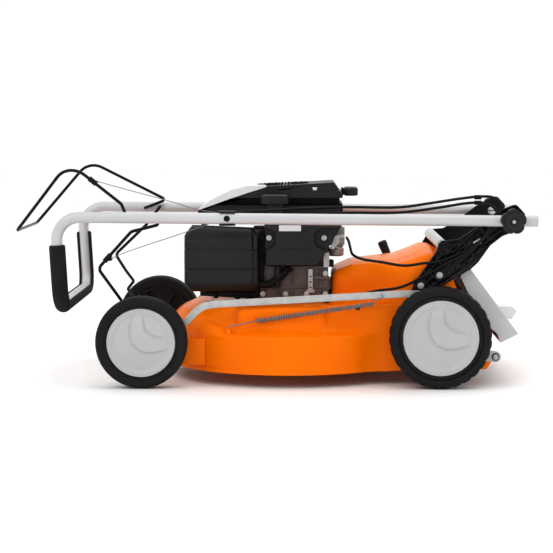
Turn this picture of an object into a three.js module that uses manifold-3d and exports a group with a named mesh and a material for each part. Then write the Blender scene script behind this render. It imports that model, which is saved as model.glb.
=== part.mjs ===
// Push lawn mower with a folded-down handle. Millimetres, +Z up, +X towards the rear, -Y the mower's left side.
// The origin is on the ground under the middle of the whole mower.
import * as THREE from 'three';
import { mergeVertices } from 'three/addons/utils/BufferGeometryUtils.js';
import Module from 'manifold-3d';

const wasm = await Module();
wasm.setup();

// ---------- driving dimensions ----------
const GAP = 0.3;
const SIDES = [{ name: 'left', sign: -1 }, { name: 'right', sign: 1 }];

const FRONT_WHEEL = { x: -256, z: 90, radius: 90 };
const REAR_WHEEL = { x: 327.5, z: 100, radius: 100 };
const WHEEL_SIDES = 24;
const WHEEL_MID_Y = 227.5;
const TYRE_HALF_WIDTH = 22.5;
const RIM_RATIO = 0.75;
const STUB_RADIUS = 8;
const STUB_END_Y = WHEEL_MID_Y + 13;

const SHEET = 3;
const DECK_CENTRE_X = 29;
const DECK_RADIUS = 243;
const DECK_BOTTOM = 26;
const DECK_TOP = 155;
const BODY_HALF_WIDTH = 178;
const TUNNEL_HALF_WIDTH = 174;
const CRANK_HOLE_RADIUS = 16;

const CRANK_Y = [188.5, 193.5];
const BAR_Y = [195, 198];
const BAR_HEIGHT = 14.5;
const BAR_PIN = { dx: 17.8, dz: 48.9, radius: 5 };
const FRONT_PIVOT = { x: -201.6, z: 64.6 };
const REAR_PIVOT = { x: 382, z: 74.6 };
const AXLE_ROD_RADIUS = 7;
const LEVER_PIVOT = { x: 285, z: 110 };
const LEVER_Y = [199.5, 202.5];

const TUBE_RADIUS = 11;
const TUBE_WALL = 1.5;
const TUBE_Y = 213;
const HANDLE_PIVOT = { x: 466, z: 326.4 };
const GRIP_RADIUS = 15.5;
const BOLT_RADIUS = 4;
const BRACKET_Y = [182, 186];
const BRACKET_BOSS_Y = 201.5;
const STOP_PIVOT = { x: -286, z: 330.4 };
const DRIVE_PIVOT = { x: -253, z: 333 };
const BAIL_RADIUS = 3.2;
const FLAP_HINGE = { x: 378, z: 234, radius: 5 };

const ENGINE_PULLEY = { groove: 18, flange: 22 };
const DRIVE_PULLEY = { x: 280, groove: 26, flange: 30 };
const BELT_Z = [129, 135];
const CABLE_RADIUS = 2.7;

// ---------- colours and finishes ----------
const FINISH = {
  orange: { color: 0xff7802, roughness: 0.28, metalness: 0.1 },
  black: { color: 0x101010, roughness: 0.35, metalness: 0.1 },
  engineBlack: { color: 0x2b2b2c, roughness: 0.5, metalness: 0 },
  casting: { color: 0x8a837c, roughness: 0.55, metalness: 0.7 },
  darkCasting: { color: 0x3a302e, roughness: 0.6, metalness: 0.5 },
  tube: { color: 0xd4d4d6, roughness: 0.4, metalness: 0.2 },
  zinc: { color: 0xa9adae, roughness: 0.35, metalness: 0.85 },
  steel: { color: 0x8f9294, roughness: 0.3, metalness: 0.95 },
  tyre: { color: 0x222222, roughness: 0.75, metalness: 0 },
  wheelGrey: { color: 0xbebebe, roughness: 0.45, metalness: 0 },
  flapGrey: { color: 0xb2b2b2, roughness: 0.5, metalness: 0 },
  trim: { color: 0xdfdfdf, roughness: 0.3, metalness: 0.3 },
  rubber: { color: 0x1c1c1c, roughness: 0.8, metalness: 0 },
};

const mower = new THREE.Group();

function addPart(name, geometry, finish, parent = mower) {
  const mesh = new THREE.Mesh(geometry, new THREE.MeshStandardMaterial(finish));
  mesh.name = name;
  parent.add(mesh);
}

// ---------- closed surfaces and booleans ----------
function signedVolume(position, index) {
  const [a, b, c] = [new THREE.Vector3(), new THREE.Vector3(), new THREE.Vector3()];
  let volume = 0;
  for (let i = 0; i < index.length; i += 3) {
    a.fromBufferAttribute(position, index[i]);
    b.fromBufferAttribute(position, index[i + 1]);
    c.fromBufferAttribute(position, index[i + 2]);
    volume += a.dot(b.cross(c)) / 6;
  }
  return volume;
}

// Corners that coincide become one vertex, flat triangles go, and every face points out.
function closeSurface(geometry) {
  geometry.deleteAttribute('normal');
  geometry.deleteAttribute('uv');
  const merged = mergeVertices(geometry, 1e-4);
  const source = merged.index.array;
  const kept = [];
  for (let i = 0; i < source.length; i += 3) {
    const [a, b, c] = [source[i], source[i + 1], source[i + 2]];
    if (a !== b && b !== c && c !== a) kept.push(a, b, c);
  }
  if (signedVolume(merged.attributes.position, kept) < 0) kept.reverse();
  const closed = new THREE.BufferGeometry();
  closed.setAttribute('position', merged.attributes.position);
  closed.setIndex(kept);
  return closed;
}

function toSolid(geometry) {
  const closed = closeSurface(geometry);
  return new wasm.Manifold(new wasm.Mesh({
    numProp: 3,
    vertProperties: new Float32Array(closed.attributes.position.array),
    triVerts: new Uint32Array(closed.index.array),
  }));
}

function toGeometry(solid) {
  const mesh = solid.getMesh();
  const geometry = new THREE.BufferGeometry();
  geometry.setAttribute('position', new THREE.BufferAttribute(mesh.vertProperties, 3));
  geometry.setIndex(new THREE.BufferAttribute(mesh.triVerts, 1));
  return geometry;
}

function join(...geometries) {
  const solids = geometries.map(toSolid);
  return toGeometry(solids.reduce((whole, piece) => whole.add(piece)));
}

function cut(geometry, ...tools) {
  const solids = tools.map(toSolid);
  return toGeometry(solids.reduce((whole, tool) => whole.subtract(tool), toSolid(geometry)));
}

function common(first, second) {
  return toGeometry(toSolid(first).intersect(toSolid(second)));
}

// ---------- basic shapes ----------
// A box between two opposite corners.
function block([x0, y0, z0], [x1, y1, z1]) {
  const box = new THREE.BoxGeometry(Math.abs(x1 - x0), Math.abs(y1 - y0), Math.abs(z1 - z0));
  return closeSurface(box.translate((x0 + x1) / 2, (y0 + y1) / 2, (z0 + z1) / 2));
}

// A straight round bar between two points.
function bar(from, to, radius, sides = 12) {
  const start = new THREE.Vector3(...from);
  const end = new THREE.Vector3(...to);
  const along = end.clone().sub(start);
  const geometry = new THREE.CylinderGeometry(radius, radius, along.length(), sides);
  const turn = new THREE.Quaternion().setFromUnitVectors(new THREE.Vector3(0, 1, 0), along.normalize());
  geometry.applyQuaternion(turn);
  const middle = start.add(end).multiplyScalar(0.5);
  return closeSurface(geometry.translate(middle.x, middle.y, middle.z));
}

function barY(x, z, y0, y1, radius, sides = 12) {
  return bar([x, Math.min(y0, y1), z], [x, Math.max(y0, y1), z], radius, sides);
}

function shapeOf(points) {
  return new THREE.Shape(points.map(([u, v]) => new THREE.Vector2(u, v)));
}

// An outline in X and Z, as thick as the span from y0 to y1. An arc gets twice curveSegments pieces.
function plateY(outline, y0, y1, curveSegments = 3) {
  const shape = outline instanceof THREE.Shape ? outline : shapeOf(outline);
  const depth = Math.abs(y1 - y0);
  const geometry = new THREE.ExtrudeGeometry(shape, { depth, bevelEnabled: false, curveSegments });
  return closeSurface(geometry.rotateX(Math.PI / 2).translate(0, Math.max(y0, y1), 0));
}

// An outline in X and Y, as tall as the span from z0 to z1.
function plateZ(outline, z0, z1, curveSegments = 3) {
  const shape = outline instanceof THREE.Shape ? outline : shapeOf(outline);
  const geometry = new THREE.ExtrudeGeometry(shape, { depth: z1 - z0, bevelEnabled: false, curveSegments });
  return closeSurface(geometry.translate(0, 0, z0));
}

// A profile of radius and height turned about a vertical axis at (x, y).
function turnedZ(profile, x, y, sides = 24) {
  const points = profile.map(([r, z]) => new THREE.Vector2(r, z));
  const geometry = new THREE.LatheGeometry(points, sides);
  return closeSurface(geometry.rotateX(Math.PI / 2).translate(x, y, 0));
}

// A flat link with round ends, between two points in X and Z.
function link(a, b, halfWidth, y0, y1) {
  const angle = Math.atan2(b.z - a.z, b.x - a.x);
  const shape = new THREE.Shape();
  shape.absarc(a.x, a.z, halfWidth, angle + Math.PI / 2, angle + 1.5 * Math.PI, false);
  shape.absarc(b.x, b.z, halfWidth, angle - Math.PI / 2, angle + Math.PI / 2, false);
  return plateY(shape, y0, y1);
}

// A strip of even width along a line of points in X and Z.
function stripOutline(points, width) {
  const upper = [];
  const lower = [];
  points.forEach(([x, z], i) => {
    const [px, pz] = points[Math.max(i - 1, 0)];
    const [nx, nz] = points[Math.min(i + 1, points.length - 1)];
    const before = Math.atan2(z - pz, x - px);
    const after = Math.atan2(nz - z, nx - x);
    const start = i === 0 ? after : before;
    const end = i === points.length - 1 ? before : after;
    const middle = (start + end) / 2;
    const reach = width / 2 / Math.cos((end - start) / 2);
    upper.push([x - reach * Math.sin(middle), z + reach * Math.cos(middle)]);
    lower.unshift([x + reach * Math.sin(middle), z - reach * Math.cos(middle)]);
  });
  return [...upper, ...lower];
}

// ---------- swept shapes ----------
// A path of straight runs joined by round bends, with stations only where it bends.
class BentPath extends THREE.Curve {
  constructor(corners, bendRadius, stepAngle = Math.PI / 6) {
    super();
    this.stations = [];
    const points = corners.map((corner) => new THREE.Vector3(...corner));
    points.forEach((point, i) => {
      const before = points[Math.max(i - 1, 0)].clone();
      const after = points[Math.min(i + 1, points.length - 1)].clone();
      const arriving = point.clone().sub(before).normalize();
      const leaving = after.sub(point).normalize();
      if (i === 0) this.stations.push([point, leaving]);
      else if (i === points.length - 1) this.stations.push([point, arriving]);
      else this.addBend(point, arriving, leaving, corners[i][3] ?? bendRadius, stepAngle);
    });
  }

  addBend(corner, arriving, leaving, radius, stepAngle) {
    const turn = arriving.angleTo(leaving);
    if (turn < 0.01) return;
    const start = corner.clone().addScaledVector(arriving, -radius * Math.tan(turn / 2));
    const inward = leaving.clone().addScaledVector(arriving, -leaving.dot(arriving)).normalize();
    const centre = start.clone().addScaledVector(inward, radius);
    const steps = Math.max(2, Math.ceil(turn / stepAngle));
    for (let i = 0; i <= steps; i += 1) {
      const angle = (turn * i) / steps;
      const place = centre.clone().addScaledVector(inward, -radius * Math.cos(angle));
      place.addScaledVector(arriving, radius * Math.sin(angle));
      const tangent = arriving.clone().multiplyScalar(Math.cos(angle));
      this.stations.push([place, tangent.addScaledVector(inward, Math.sin(angle))]);
    }
  }

  station(u) {
    return this.stations[Math.round(u * (this.stations.length - 1))];
  }

  getPointAt(u, target = new THREE.Vector3()) {
    return target.copy(this.station(u)[0]);
  }

  getTangentAt(u, target = new THREE.Vector3()) {
    return target.copy(this.station(u)[1]);
  }
}

function roundSection(radius, sides, hole) {
  const shape = new THREE.Shape();
  shape.absarc(0, 0, radius, 0, 2 * Math.PI, false);
  if (hole) {
    const inside = new THREE.Path();
    inside.absarc(0, 0, hole, 0, 2 * Math.PI, true);
    shape.holes.push(inside);
  }
  return { shape, curveSegments: sides / 2 };
}

function sweep(path, steps, { shape, curveSegments }) {
  return closeSurface(new THREE.ExtrudeGeometry(shape, { extrudePath: path, steps, curveSegments }));
}

function bentBar(corners, radius, bendRadius, sides = 8, hole = 0) {
  const path = new BentPath(corners, bendRadius);
  return sweep(path, path.stations.length - 1, roundSection(radius, sides, hole));
}

function cable(points, radius, steps, sides = 6) {
  const path = new THREE.CatmullRomCurve3(points.map((p) => new THREE.Vector3(...p)), false, 'centripetal');
  return sweep(path, steps, roundSection(radius, sides));
}

const mirrored = (corners) => [...corners, ...corners.map(([x, y, z, r]) => [x, -y, z, r]).reverse()];

// ---------- wheels ----------
// Both profiles run across the wheel, with the outer face on +Y; flats, not corners, meet the ground.
function turnedWheel(profile) {
  const flatToCorner = 1 / Math.cos(Math.PI / WHEEL_SIDES);
  const points = profile.map(([r, y]) => new THREE.Vector2(r * flatToCorner, y));
  return closeSurface(new THREE.LatheGeometry(points, WHEEL_SIDES, Math.PI / WHEEL_SIDES));
}

function tyreGeometry(radius) {
  const bead = radius * RIM_RATIO;
  return turnedWheel([
    [bead, -20], [bead, 20], [radius - 8, TYRE_HALF_WIDTH], [radius, 14],
    [radius, -14], [radius - 8, -TYRE_HALF_WIDTH], [bead, -20],
  ]);
}

function wheelGeometry(radius) {
  const seat = radius * RIM_RATIO - GAP;
  const bore = STUB_RADIUS + GAP;
  return turnedWheel([
    [0, 21], [seat, 21], [seat, -18], [seat - 6, -18], [20, 8], [20, -21], [bore, -21], [bore, 14], [0, 14],
  ]);
}

for (const [place, wheel] of [['front', FRONT_WHEEL], ['rear', REAR_WHEEL]]) {
  for (const side of SIDES) {
    const group = new THREE.Group();
    group.position.set(wheel.x, side.sign * WHEEL_MID_Y, wheel.z);
    group.rotation.z = side.sign < 0 ? Math.PI : 0;
    addPart(`tyre_${place}_${side.name}`, tyreGeometry(wheel.radius), FINISH.tyre, group);
    addPart(`wheel_${place}_${side.name}`, wheelGeometry(wheel.radius), FINISH.wheelGrey, group);
    mower.add(group);
  }
}

// ---------- deck ----------
// The round cutting drum; thickness 0 gives its outside and SHEET its inside.
function drum(thickness) {
  const t = thickness;
  const floor = t ? DECK_BOTTOM - 20 : DECK_BOTTOM;
  const profile = [
    [0, floor], [DECK_RADIUS - t, floor], [DECK_RADIUS - t, 98 - t], [238 - t, 100 - t], [215 - t, 108 - t],
    [205 - t, 118 - t], [190 - t, 150 - t], [180 - t, DECK_TOP - t], [0, DECK_TOP - t],
  ];
  return turnedZ(profile, DECK_CENTRE_X, 0, 36);
}

const TUNNEL_OUTSIDE = [
  [90, 30], [428, 30], [430, 60], [425, 85], [380, 180], [367, 213], [356, 243],
  [340, 254], [318, 266], [303, 267], [280, 257], [249, 245], [156, 234], [118, 218], [115, 150], [90, 150],
];
const TUNNEL_INSIDE = [
  [84, 20], [425, 20], [427, 60], [422, 84], [450, 96], [384, 252], [353, 241],
  [338, 251.5], [317, 263], [303.5, 263.8], [281, 254], [249.6, 242], [157, 231], [121, 216], [118, 147], [84, 147],
];

function tunnel(outline, thickness) {
  const t = thickness;
  const low = plateZ([
    [70, t - BODY_HALF_WIDTH], [470, t - BODY_HALF_WIDTH], [470, BODY_HALF_WIDTH - t], [70, BODY_HALF_WIDTH - t],
  ], 10, 165 - t);
  const rear = TUNNEL_HALF_WIDTH - t;
  const high = plateZ([
    [70, t - 105], [116, t - 105], [215, t - 118], [262, -rear], [470, -rear],
    [470, rear], [262, rear], [215, 118 - t], [116, 105 - t], [70, 105 - t],
  ], 100, 300);
  return common(plateY(outline, -200, 200), join(low, high));
}

// Small tabs on the left shoulder hold the front hook of the assist spring.
function springTab() {
  return block([-91, -209, 92], [-83, -185, 112]);
}

function deckGeometry() {
  const outside = join(drum(0), tunnel(TUNNEL_OUTSIDE, 0));
  const shell = cut(outside, join(drum(SHEET), tunnel(TUNNEL_INSIDE, SHEET)));
  const crankHole = bar([DECK_CENTRE_X, 0, 140], [DECK_CENTRE_X, 0, 170], CRANK_HOLE_RADIUS);
  const rodHole = barY(REAR_PIVOT.x, REAR_PIVOT.z, -190, 190, AXLE_ROD_RADIUS + 1.5);
  const shaftSlot = block([308, -190, 38], [341, 190, 113]);
  return join(cut(shell, crankHole, rodHole, shaftSlot), cut(springTab(), drum(SHEET)));
}

addPart('deck', deckGeometry(), FINISH.orange);

const CHUTE_FLOOR = [[236, 146], [332, 148], [352, 140], [404, 106], [412, 97]];
addPart('chute_floor', plateY(stripOutline(CHUTE_FLOOR, 2.5), -172, 172), FINISH.black);

// ---------- wheel carriers and height adjustment ----------
// A crank plate carries the wheel stub on one arm and the link bar's pin on the other.
function crank(pivot, wheel, sign) {
  const y = CRANK_Y.map((value) => sign * value);
  const pin = { x: pivot.x + BAR_PIN.dx, z: pivot.z + BAR_PIN.dz };
  return [
    link(pivot, wheel, 12, ...y),
    link(pivot, pin, 10, ...y),
    barY(wheel.x, wheel.z, sign * CRANK_Y[0], sign * STUB_END_Y, STUB_RADIUS),
    barY(pin.x, pin.z, sign * CRANK_Y[0], sign * 200.5, BAR_PIN.radius),
  ];
}

function linkBar(sign) {
  const front = { x: FRONT_PIVOT.x + BAR_PIN.dx, z: FRONT_PIVOT.z + BAR_PIN.dz };
  const rear = { x: REAR_PIVOT.x + BAR_PIN.dx, z: REAR_PIVOT.z + BAR_PIN.dz };
  const line = [[front.x, front.z], [-146, 152], [-132, 161], [-112, 166], [258, 187], [330, 185], [rear.x, rear.z]];
  const strip = plateY(stripOutline(line, BAR_HEIGHT), sign * BAR_Y[0], sign * BAR_Y[1]);
  const eyes = [front, rear].map((p) => barY(p.x, p.z, sign * BAR_Y[0], sign * BAR_Y[1], 10));
  const holes = [front, rear].map((p) => barY(p.x, p.z, sign * 190, sign * 204, BAR_PIN.radius + GAP));
  const springPin = barY(212, 178, sign * BAR_Y[0], sign * 210, 3, 8);
  const whole = join(strip, ...eyes, ...(sign < 0 ? [springPin] : []));
  return cut(whole, ...holes);
}

// The flange follows the drum's skirt and the plate reaches forward to the crank's pivot.
function frontBracket(sign) {
  const inner = DECK_RADIUS + GAP;
  const shape = new THREE.Shape();
  const [from, to] = [sign * THREE.MathUtils.degToRad(118), sign * THREE.MathUtils.degToRad(142)];
  shape.absarc(DECK_CENTRE_X, 0, inner + 4, from, to, sign < 0);
  shape.absarc(DECK_CENTRE_X, 0, inner, to, from, sign > 0);
  const plate = block([-216, sign * 183.5, 46], [-134, sign * 187.5, 84]);
  const hole = barY(FRONT_PIVOT.x, FRONT_PIVOT.z, sign * 180, sign * 190, 6 + GAP);
  return cut(join(plateZ(shape, 46, 84), plate), hole);
}

for (const { name, sign } of SIDES) {
  const pivotPin = barY(FRONT_PIVOT.x, FRONT_PIVOT.z, sign * 180, sign * CRANK_Y[1], 6);
  addPart(`front_crank_${name}`, join(...crank(FRONT_PIVOT, FRONT_WHEEL, sign), pivotPin), FINISH.zinc);
  addPart(`front_bracket_${name}`, frontBracket(sign), FINISH.orange);
  addPart(`link_bar_${name}`, linkBar(sign), FINISH.zinc);
}

const axleRod = barY(REAR_PIVOT.x, REAR_PIVOT.z, -CRANK_Y[1], CRANK_Y[1], AXLE_ROD_RADIUS);
addPart('rear_axle', join(axleRod, ...crank(REAR_PIVOT, REAR_WHEEL, -1), ...crank(REAR_PIVOT, REAR_WHEEL, 1)),
  FINISH.zinc);

// Bearing plates on the deck's sides carry the axle rod and end in a bolted round eye.
function rearPlate(sign) {
  const [y0, y1] = [sign * 178.3, sign * 183];
  const arm = link({ x: 356, z: 66 }, { x: 439.5, z: 56 }, 11, y0, y1);
  const boss = barY(REAR_PIVOT.x, REAR_PIVOT.z, y0, y1, 15);
  const bolt = barY(439.5, 56, sign * 182, sign * 187, 6, 6);
  return cut(join(arm, boss, bolt), barY(REAR_PIVOT.x, REAR_PIVOT.z, sign * 175, sign * 190, AXLE_ROD_RADIUS + 0.5));
}

for (const { name, sign } of SIDES) {
  addPart(`rear_plate_${name}`, rearPlate(sign), FINISH.flapGrey);
}

const LEVER_TOP = { x: 247, z: 222 };
const leverPin = barY(LEVER_PIVOT.x, LEVER_PIVOT.z, 178.4, LEVER_Y[1], 5);
addPart('height_lever', join(link(LEVER_PIVOT, LEVER_TOP, 7.5, ...LEVER_Y), leverPin), FINISH.zinc);
const leverGrip = bar([247, 210, 214], [224, 210, 262], 10);
const leverSlot = link(LEVER_PIVOT, LEVER_TOP, 7.5 + GAP, LEVER_Y[0] - GAP, LEVER_Y[1] + GAP);
addPart('height_lever_grip', cut(leverGrip, leverSlot), FINISH.engineBlack);

// ---------- drive to the rear wheels ----------
const gearboxParts = [
  barY(REAR_WHEEL.x, REAR_WHEEL.z, -38, 38, 26, 20),
  barY(REAR_WHEEL.x, REAR_WHEEL.z, -187, 187, 7),
  block([269, -20, 84], [315, 20, 116]),
  bar([DRIVE_PULLEY.x, 0, 110], [DRIVE_PULLEY.x, 0, 140], 6),
];
addPart('gearbox', join(...gearboxParts), FINISH.casting);

function pulley({ groove, flange }, x, bore) {
  const [low, high] = BELT_Z;
  return turnedZ([
    [bore, low - 2.5], [flange, low - 2.5], [flange, low - 1], [groove, low + 1], [groove, high - 1],
    [flange, high + 1], [flange, high + 2.5], [bore, high + 2.5], [bore, low - 2.5],
  ], x, 0, 16);
}

function beltLoop(offset) {
  const [r1, r2] = [ENGINE_PULLEY.groove + offset, DRIVE_PULLEY.groove + offset];
  const angle = Math.acos((r1 - r2) / (DRIVE_PULLEY.x - DECK_CENTRE_X));
  const shape = new THREE.Shape();
  shape.absarc(DRIVE_PULLEY.x, 0, r2, -angle, angle, false);
  shape.absarc(DECK_CENTRE_X, 0, r1, angle, 2 * Math.PI - angle, false);
  return shape;
}

const beltInside = plateZ(beltLoop(0.8), 120, 145, 7);
addPart('drive_belt', cut(plateZ(beltLoop(5), 130.2, 133.8, 7), beltInside), FINISH.rubber);
addPart('gearbox_pulley', pulley(DRIVE_PULLEY, DRIVE_PULLEY.x, 6 + GAP), FINISH.steel);

// ---------- crankshaft and blade ----------
const crankProfile = [
  [0, 72], [6.4, 72], [6.4, 58.3], [11, 58.3], [11, 210], [44, 210], [44, 240], [11, 240], [11, 332], [0, 332],
];
addPart('crankshaft', turnedZ(crankProfile, DECK_CENTRE_X, 0, 16), FINISH.steel);
addPart('engine_pulley', pulley(ENGINE_PULLEY, DECK_CENTRE_X, 11 + GAP), FINISH.steel);

const flywheelProfile = [
  [11.5, 306], [50, 306], [66, 312], [66, 326], [50, 322], [30, 318], [24, 328], [11.5, 328], [11.5, 306],
];
addPart('flywheel', turnedZ(flywheelProfile, DECK_CENTRE_X, 0, 16), FINISH.casting);

function bladeGeometry() {
  const side = [
    [-230, 58], [-172, 46], [172, 46], [230, 58], [230, 62], [171, 50], [-171, 50], [-230, 62],
  ].map(([x, z]) => [x + DECK_CENTRE_X, z]);
  const hub = bar([DECK_CENTRE_X, 0, 47], [DECK_CENTRE_X, 0, 58], 20);
  const hole = bar([DECK_CENTRE_X, 0, 40], [DECK_CENTRE_X, 0, 65], 6.4);
  return cut(join(plateY(side, -27, 27), hub), hole);
}

addPart('blade', bladeGeometry(), FINISH.steel);
const boltHead = bar([DECK_CENTRE_X, 0, 38], [DECK_CENTRE_X, 0, 45.7], 11, 6);
addPart('blade_bolt', join(boltHead, bar([DECK_CENTRE_X, 0, 44], [DECK_CENTRE_X, 0, 71], 6)), FINISH.zinc);

// ---------- engine ----------
const BLOCK_FLOOR = DECK_TOP + GAP;
function engineBlockGeometry() {
  const lower = block([-27, -98, BLOCK_FLOOR], [110, 98, 228]);
  const upper = block([-45, -75, BLOCK_FLOOR], [110, 75, 300]);
  const ribs = [-18, 10, 38, 94].map((x) => block([x - 2, -101, 160], [x + 2, -90, 222]));
  const chamber = bar([DECK_CENTRE_X, 0, 150], [DECK_CENTRE_X, 0, 286], 60, 24);
  const bearing = bar([DECK_CENTRE_X, 0, 280], [DECK_CENTRE_X, 0, 310], 12);
  return cut(join(lower, upper, ...ribs), chamber, bearing);
}

function cylinderHeadGeometry() {
  const core = block([-140, -34, 216], [-45.3, 34, 284]);
  const fins = [0, 1, 2, 3, 4, 5].map((i) => block([-138 + 15 * i, -54, 206], [-133.5 + 15 * i, 54, 294]));
  const plugHole = bar([-145, 0, 250], [-120, 0, 250], 7.4);
  return cut(join(core, ...fins), plugHole);
}

addPart('engine_block', engineBlockGeometry(), FINISH.darkCasting);
addPart('cylinder_head', cylinderHeadGeometry(), FINISH.casting);
addPart('spark_plug', join(bar([-125, 0, 250], [-152, 0, 250], 7), bar([-150, 0, 250], [-172, 0, 250], 10)),
  FINISH.engineBlack);

const MUFFLER = new THREE.Shape();
MUFFLER.absarc(-128, 226, 22, Math.PI, 1.5 * Math.PI, false);
MUFFLER.absarc(-74, 226, 22, 1.5 * Math.PI, 2 * Math.PI, false);
MUFFLER.absarc(-74, 256, 22, 0, Math.PI / 2, false);
MUFFLER.absarc(-128, 256, 22, Math.PI / 2, Math.PI, false);
const muffler = plateY(MUFFLER, 58, 112);
addPart('muffler', join(muffler, bar([-100, 100, 210], [-100, 100, 196], 8)), FINISH.steel);

// The shroud is open below, over the flywheel and the cylinder.
const SHROUD_Y = [-74, 100];
const SHROUD_OUTSIDE = [[-150, 316], [139, 316], [139, 376], [121, 396], [-45, 386], [-156, 338], [-156, 330]];
const SHROUD_INSIDE = [[-147, 300], [136, 300], [136, 375], [119.5, 392.8], [-44.5, 383], [-152, 336], [-152, 331]];
function shroudGeometry() {
  const outside = plateY(SHROUD_OUTSIDE, ...SHROUD_Y);
  const inside = plateY(SHROUD_INSIDE, SHROUD_Y[0] + SHEET, SHROUD_Y[1] - SHEET);
  const ropeHole = bar([125, 0, 374], [150, 0, 374], 5.5);
  const notch = block([76, -90, 375], [91, SHROUD_Y[0] + 1.5, 387]);
  return cut(outside, inside, ropeHole, notch);
}

addPart('engine_shroud', shroudGeometry(), FINISH.engineBlack);

// The bright wedge lies on the shroud's sloping front.
const TRIM = [[-154, 342.5], [-46, 388.6], [-17, 388.2], [-18, 391.5], [-47, 393], [-156, 345]];
addPart('shroud_trim', plateY(TRIM, SHROUD_Y[0] + 2, SHROUD_Y[1] - 2), FINISH.trim);

const TANK = [[-17, 231], [84, 231], [96, 242], [107, 263], [136, 311], [136, 313], [-17, 313]];
const TANK_INSIDE = [[-14, 234], [83, 234], [93.6, 244], [104, 264], [132, 310], [-14, 310]];
const FILLER = { x: 2, y: -105, radius: 17 };
function tankGeometry() {
  const shell = cut(plateY(TANK, -135, -78), plateY(TANK_INSIDE, -132, -81));
  const neck = bar([FILLER.x, FILLER.y, 312], [FILLER.x, FILLER.y, 364], FILLER.radius);
  const bore = bar([FILLER.x, FILLER.y, 300], [FILLER.x, FILLER.y, 370], FILLER.radius - SHEET);
  return cut(join(shell, neck), bore);
}

addPart('fuel_tank', tankGeometry(), FINISH.engineBlack);
const capBore = FILLER.radius + 0.8;
const capProfile = [[0, 373], [26, 373], [28, 370], [28, 354], [capBore, 354], [capBore, 366], [0, 366]];
addPart('fuel_cap', turnedZ(capProfile, FILLER.x, FILLER.y, 20), FINISH.engineBlack);

// Air cleaner: a hollow cover over a filter element, on a base plate fixed to the engine.
const COVER = [
  [-179, 196], [-168, 178], [-40, 178], [-30, 190], [-30, 284], [-42, 305], [-165, 310], [-179, 292],
];
const COVER_INSIDE = [
  [-176, 198], [-166, 181], [-42, 181], [-33, 192], [-33, 283], [-44, 302], [-164, 307], [-176, 291],
];
addPart('air_filter_cover', cut(plateY(COVER, -130, -82), plateY(COVER_INSIDE, -127, -70)), FINISH.engineBlack);
addPart('air_filter_element', block([-160, -120, 196], [-48, -84, 290]), FINISH.flapGrey);
addPart('air_filter_base', plateY(COVER, -81.7, -76), FINISH.engineBlack);

const carburettorParts = [
  block([113, -74, 269], [143, -44, 305]),
  block([110.3, -70, 280], [116, -48, 296]),
  bar([128, -59, 262], [128, -59, 275], 11),
];
addPart('carburettor', join(...carburettorParts), FINISH.casting);

const strap = block([67, -105, 175], [81, -102, 223]);
addPart('brake_bracket', join(strap, block([80, -105, 200], [112, -102, 212])), FINISH.zinc);

const BREATHER = [
  [-28.6, -110, 190], [-12, -110, 191], [3, -110, 196], [17, -110, 207], [26, -110, 217], [31, -110, 227],
];
addPart('breather_tube', cable(BREATHER, 5, 8, 8), FINISH.rubber);

const gripTie = bar([134, 0, 374], [150, 0, 375], 4, 8);
const gripBody = plateZ([[142, -32], [160, -34], [171, -26], [171, 26], [160, 34], [142, 32]], 367, 384);
addPart('starter_grip', join(gripTie, gripBody), FINISH.engineBlack);

// ---------- handle brackets, cross tube and flap ----------
const BRACKET = [
  [272, 184], [277, 201], [304, 240], [322, 267], [326, 281], [333, 286], [361, 288], [374, 295], [400, 312],
  [430, 335], [455, 350], [476, 358], [495, 338], [490, 320], [463, 300], [450, 295], [427, 277], [419, 266],
  [403, 243], [389, 230], [364, 216], [328, 193], [300, 186],
];
const CROSS_TUBE = { x: 332, z: 277 };
const BRACKET_BOLTS = [{ x: 327.8, z: 217.8 }, { x: 291, z: 197 }];
function bracketGeometry(sign) {
  const plate = plateY(BRACKET, sign * BRACKET_Y[0], sign * BRACKET_Y[1]);
  const pad = plateY([[296, 206], [316, 236], [352, 236], [352, 213], [326, 197]], sign * 174.4, sign * 184);
  const rib = plateY(stripOutline([[296, 203], [350, 238], [440, 310]], 4), sign * 185, sign * 187.1);
  const boss = barY(HANDLE_PIVOT.x, HANDLE_PIVOT.z, sign * 184, sign * BRACKET_BOSS_Y, 14);
  const pivotBolt = barY(HANDLE_PIVOT.x, HANDLE_PIVOT.z, sign * 183, sign * 243, BOLT_RADIUS);
  const boltHead = barY(HANDLE_PIVOT.x, HANDLE_PIVOT.z, sign * 178.5, sign * 184, 9);
  const heads = BRACKET_BOLTS.map(({ x, z }) => barY(x, z, sign * 185, sign * 189.3, 9));
  const hinge = barY(FLAP_HINGE.x, FLAP_HINGE.z, sign * 170, sign * 200, FLAP_HINGE.radius + GAP);
  return cut(join(plate, pad, rib, boss, pivotBolt, boltHead, ...heads), hinge);
}

for (const { name, sign } of SIDES) {
  addPart(`bracket_${name}`, bracketGeometry(sign), FINISH.black);
}
addPart('cross_tube', barY(CROSS_TUBE.x, CROSS_TUBE.z, 0.3 - BRACKET_Y[0], BRACKET_Y[0] - 0.3, 11), FINISH.tube);

const FLAP_WING = [
  [374, 238], [381, 238], [390, 229], [486, 100], [449, 81.6], [434, 108], [384, 184], [370, 213],
];
function flapGeometry() {
  const panel = plateY([[379, 238], [390, 229], [486, 100], [482.7, 98.2], [387, 226], [377, 234]], -171, 171);
  const lip = plateY(stripOutline([[484, 100.5], [449.8, 83.2]], 3), -171, 171);
  const wings = SIDES.map(({ sign }) => plateY(FLAP_WING, sign * 168, sign * 171));
  const rod = barY(FLAP_HINGE.x, FLAP_HINGE.z, -188, 188, FLAP_HINGE.radius);
  const tab = plateY([[459, 131], [499, 130], [486, 113], [470, 118]], -30, 30);
  return join(panel, lip, ...wings, rod, tab);
}

addPart('flap', flapGeometry(), FINISH.flapGrey);

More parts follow.
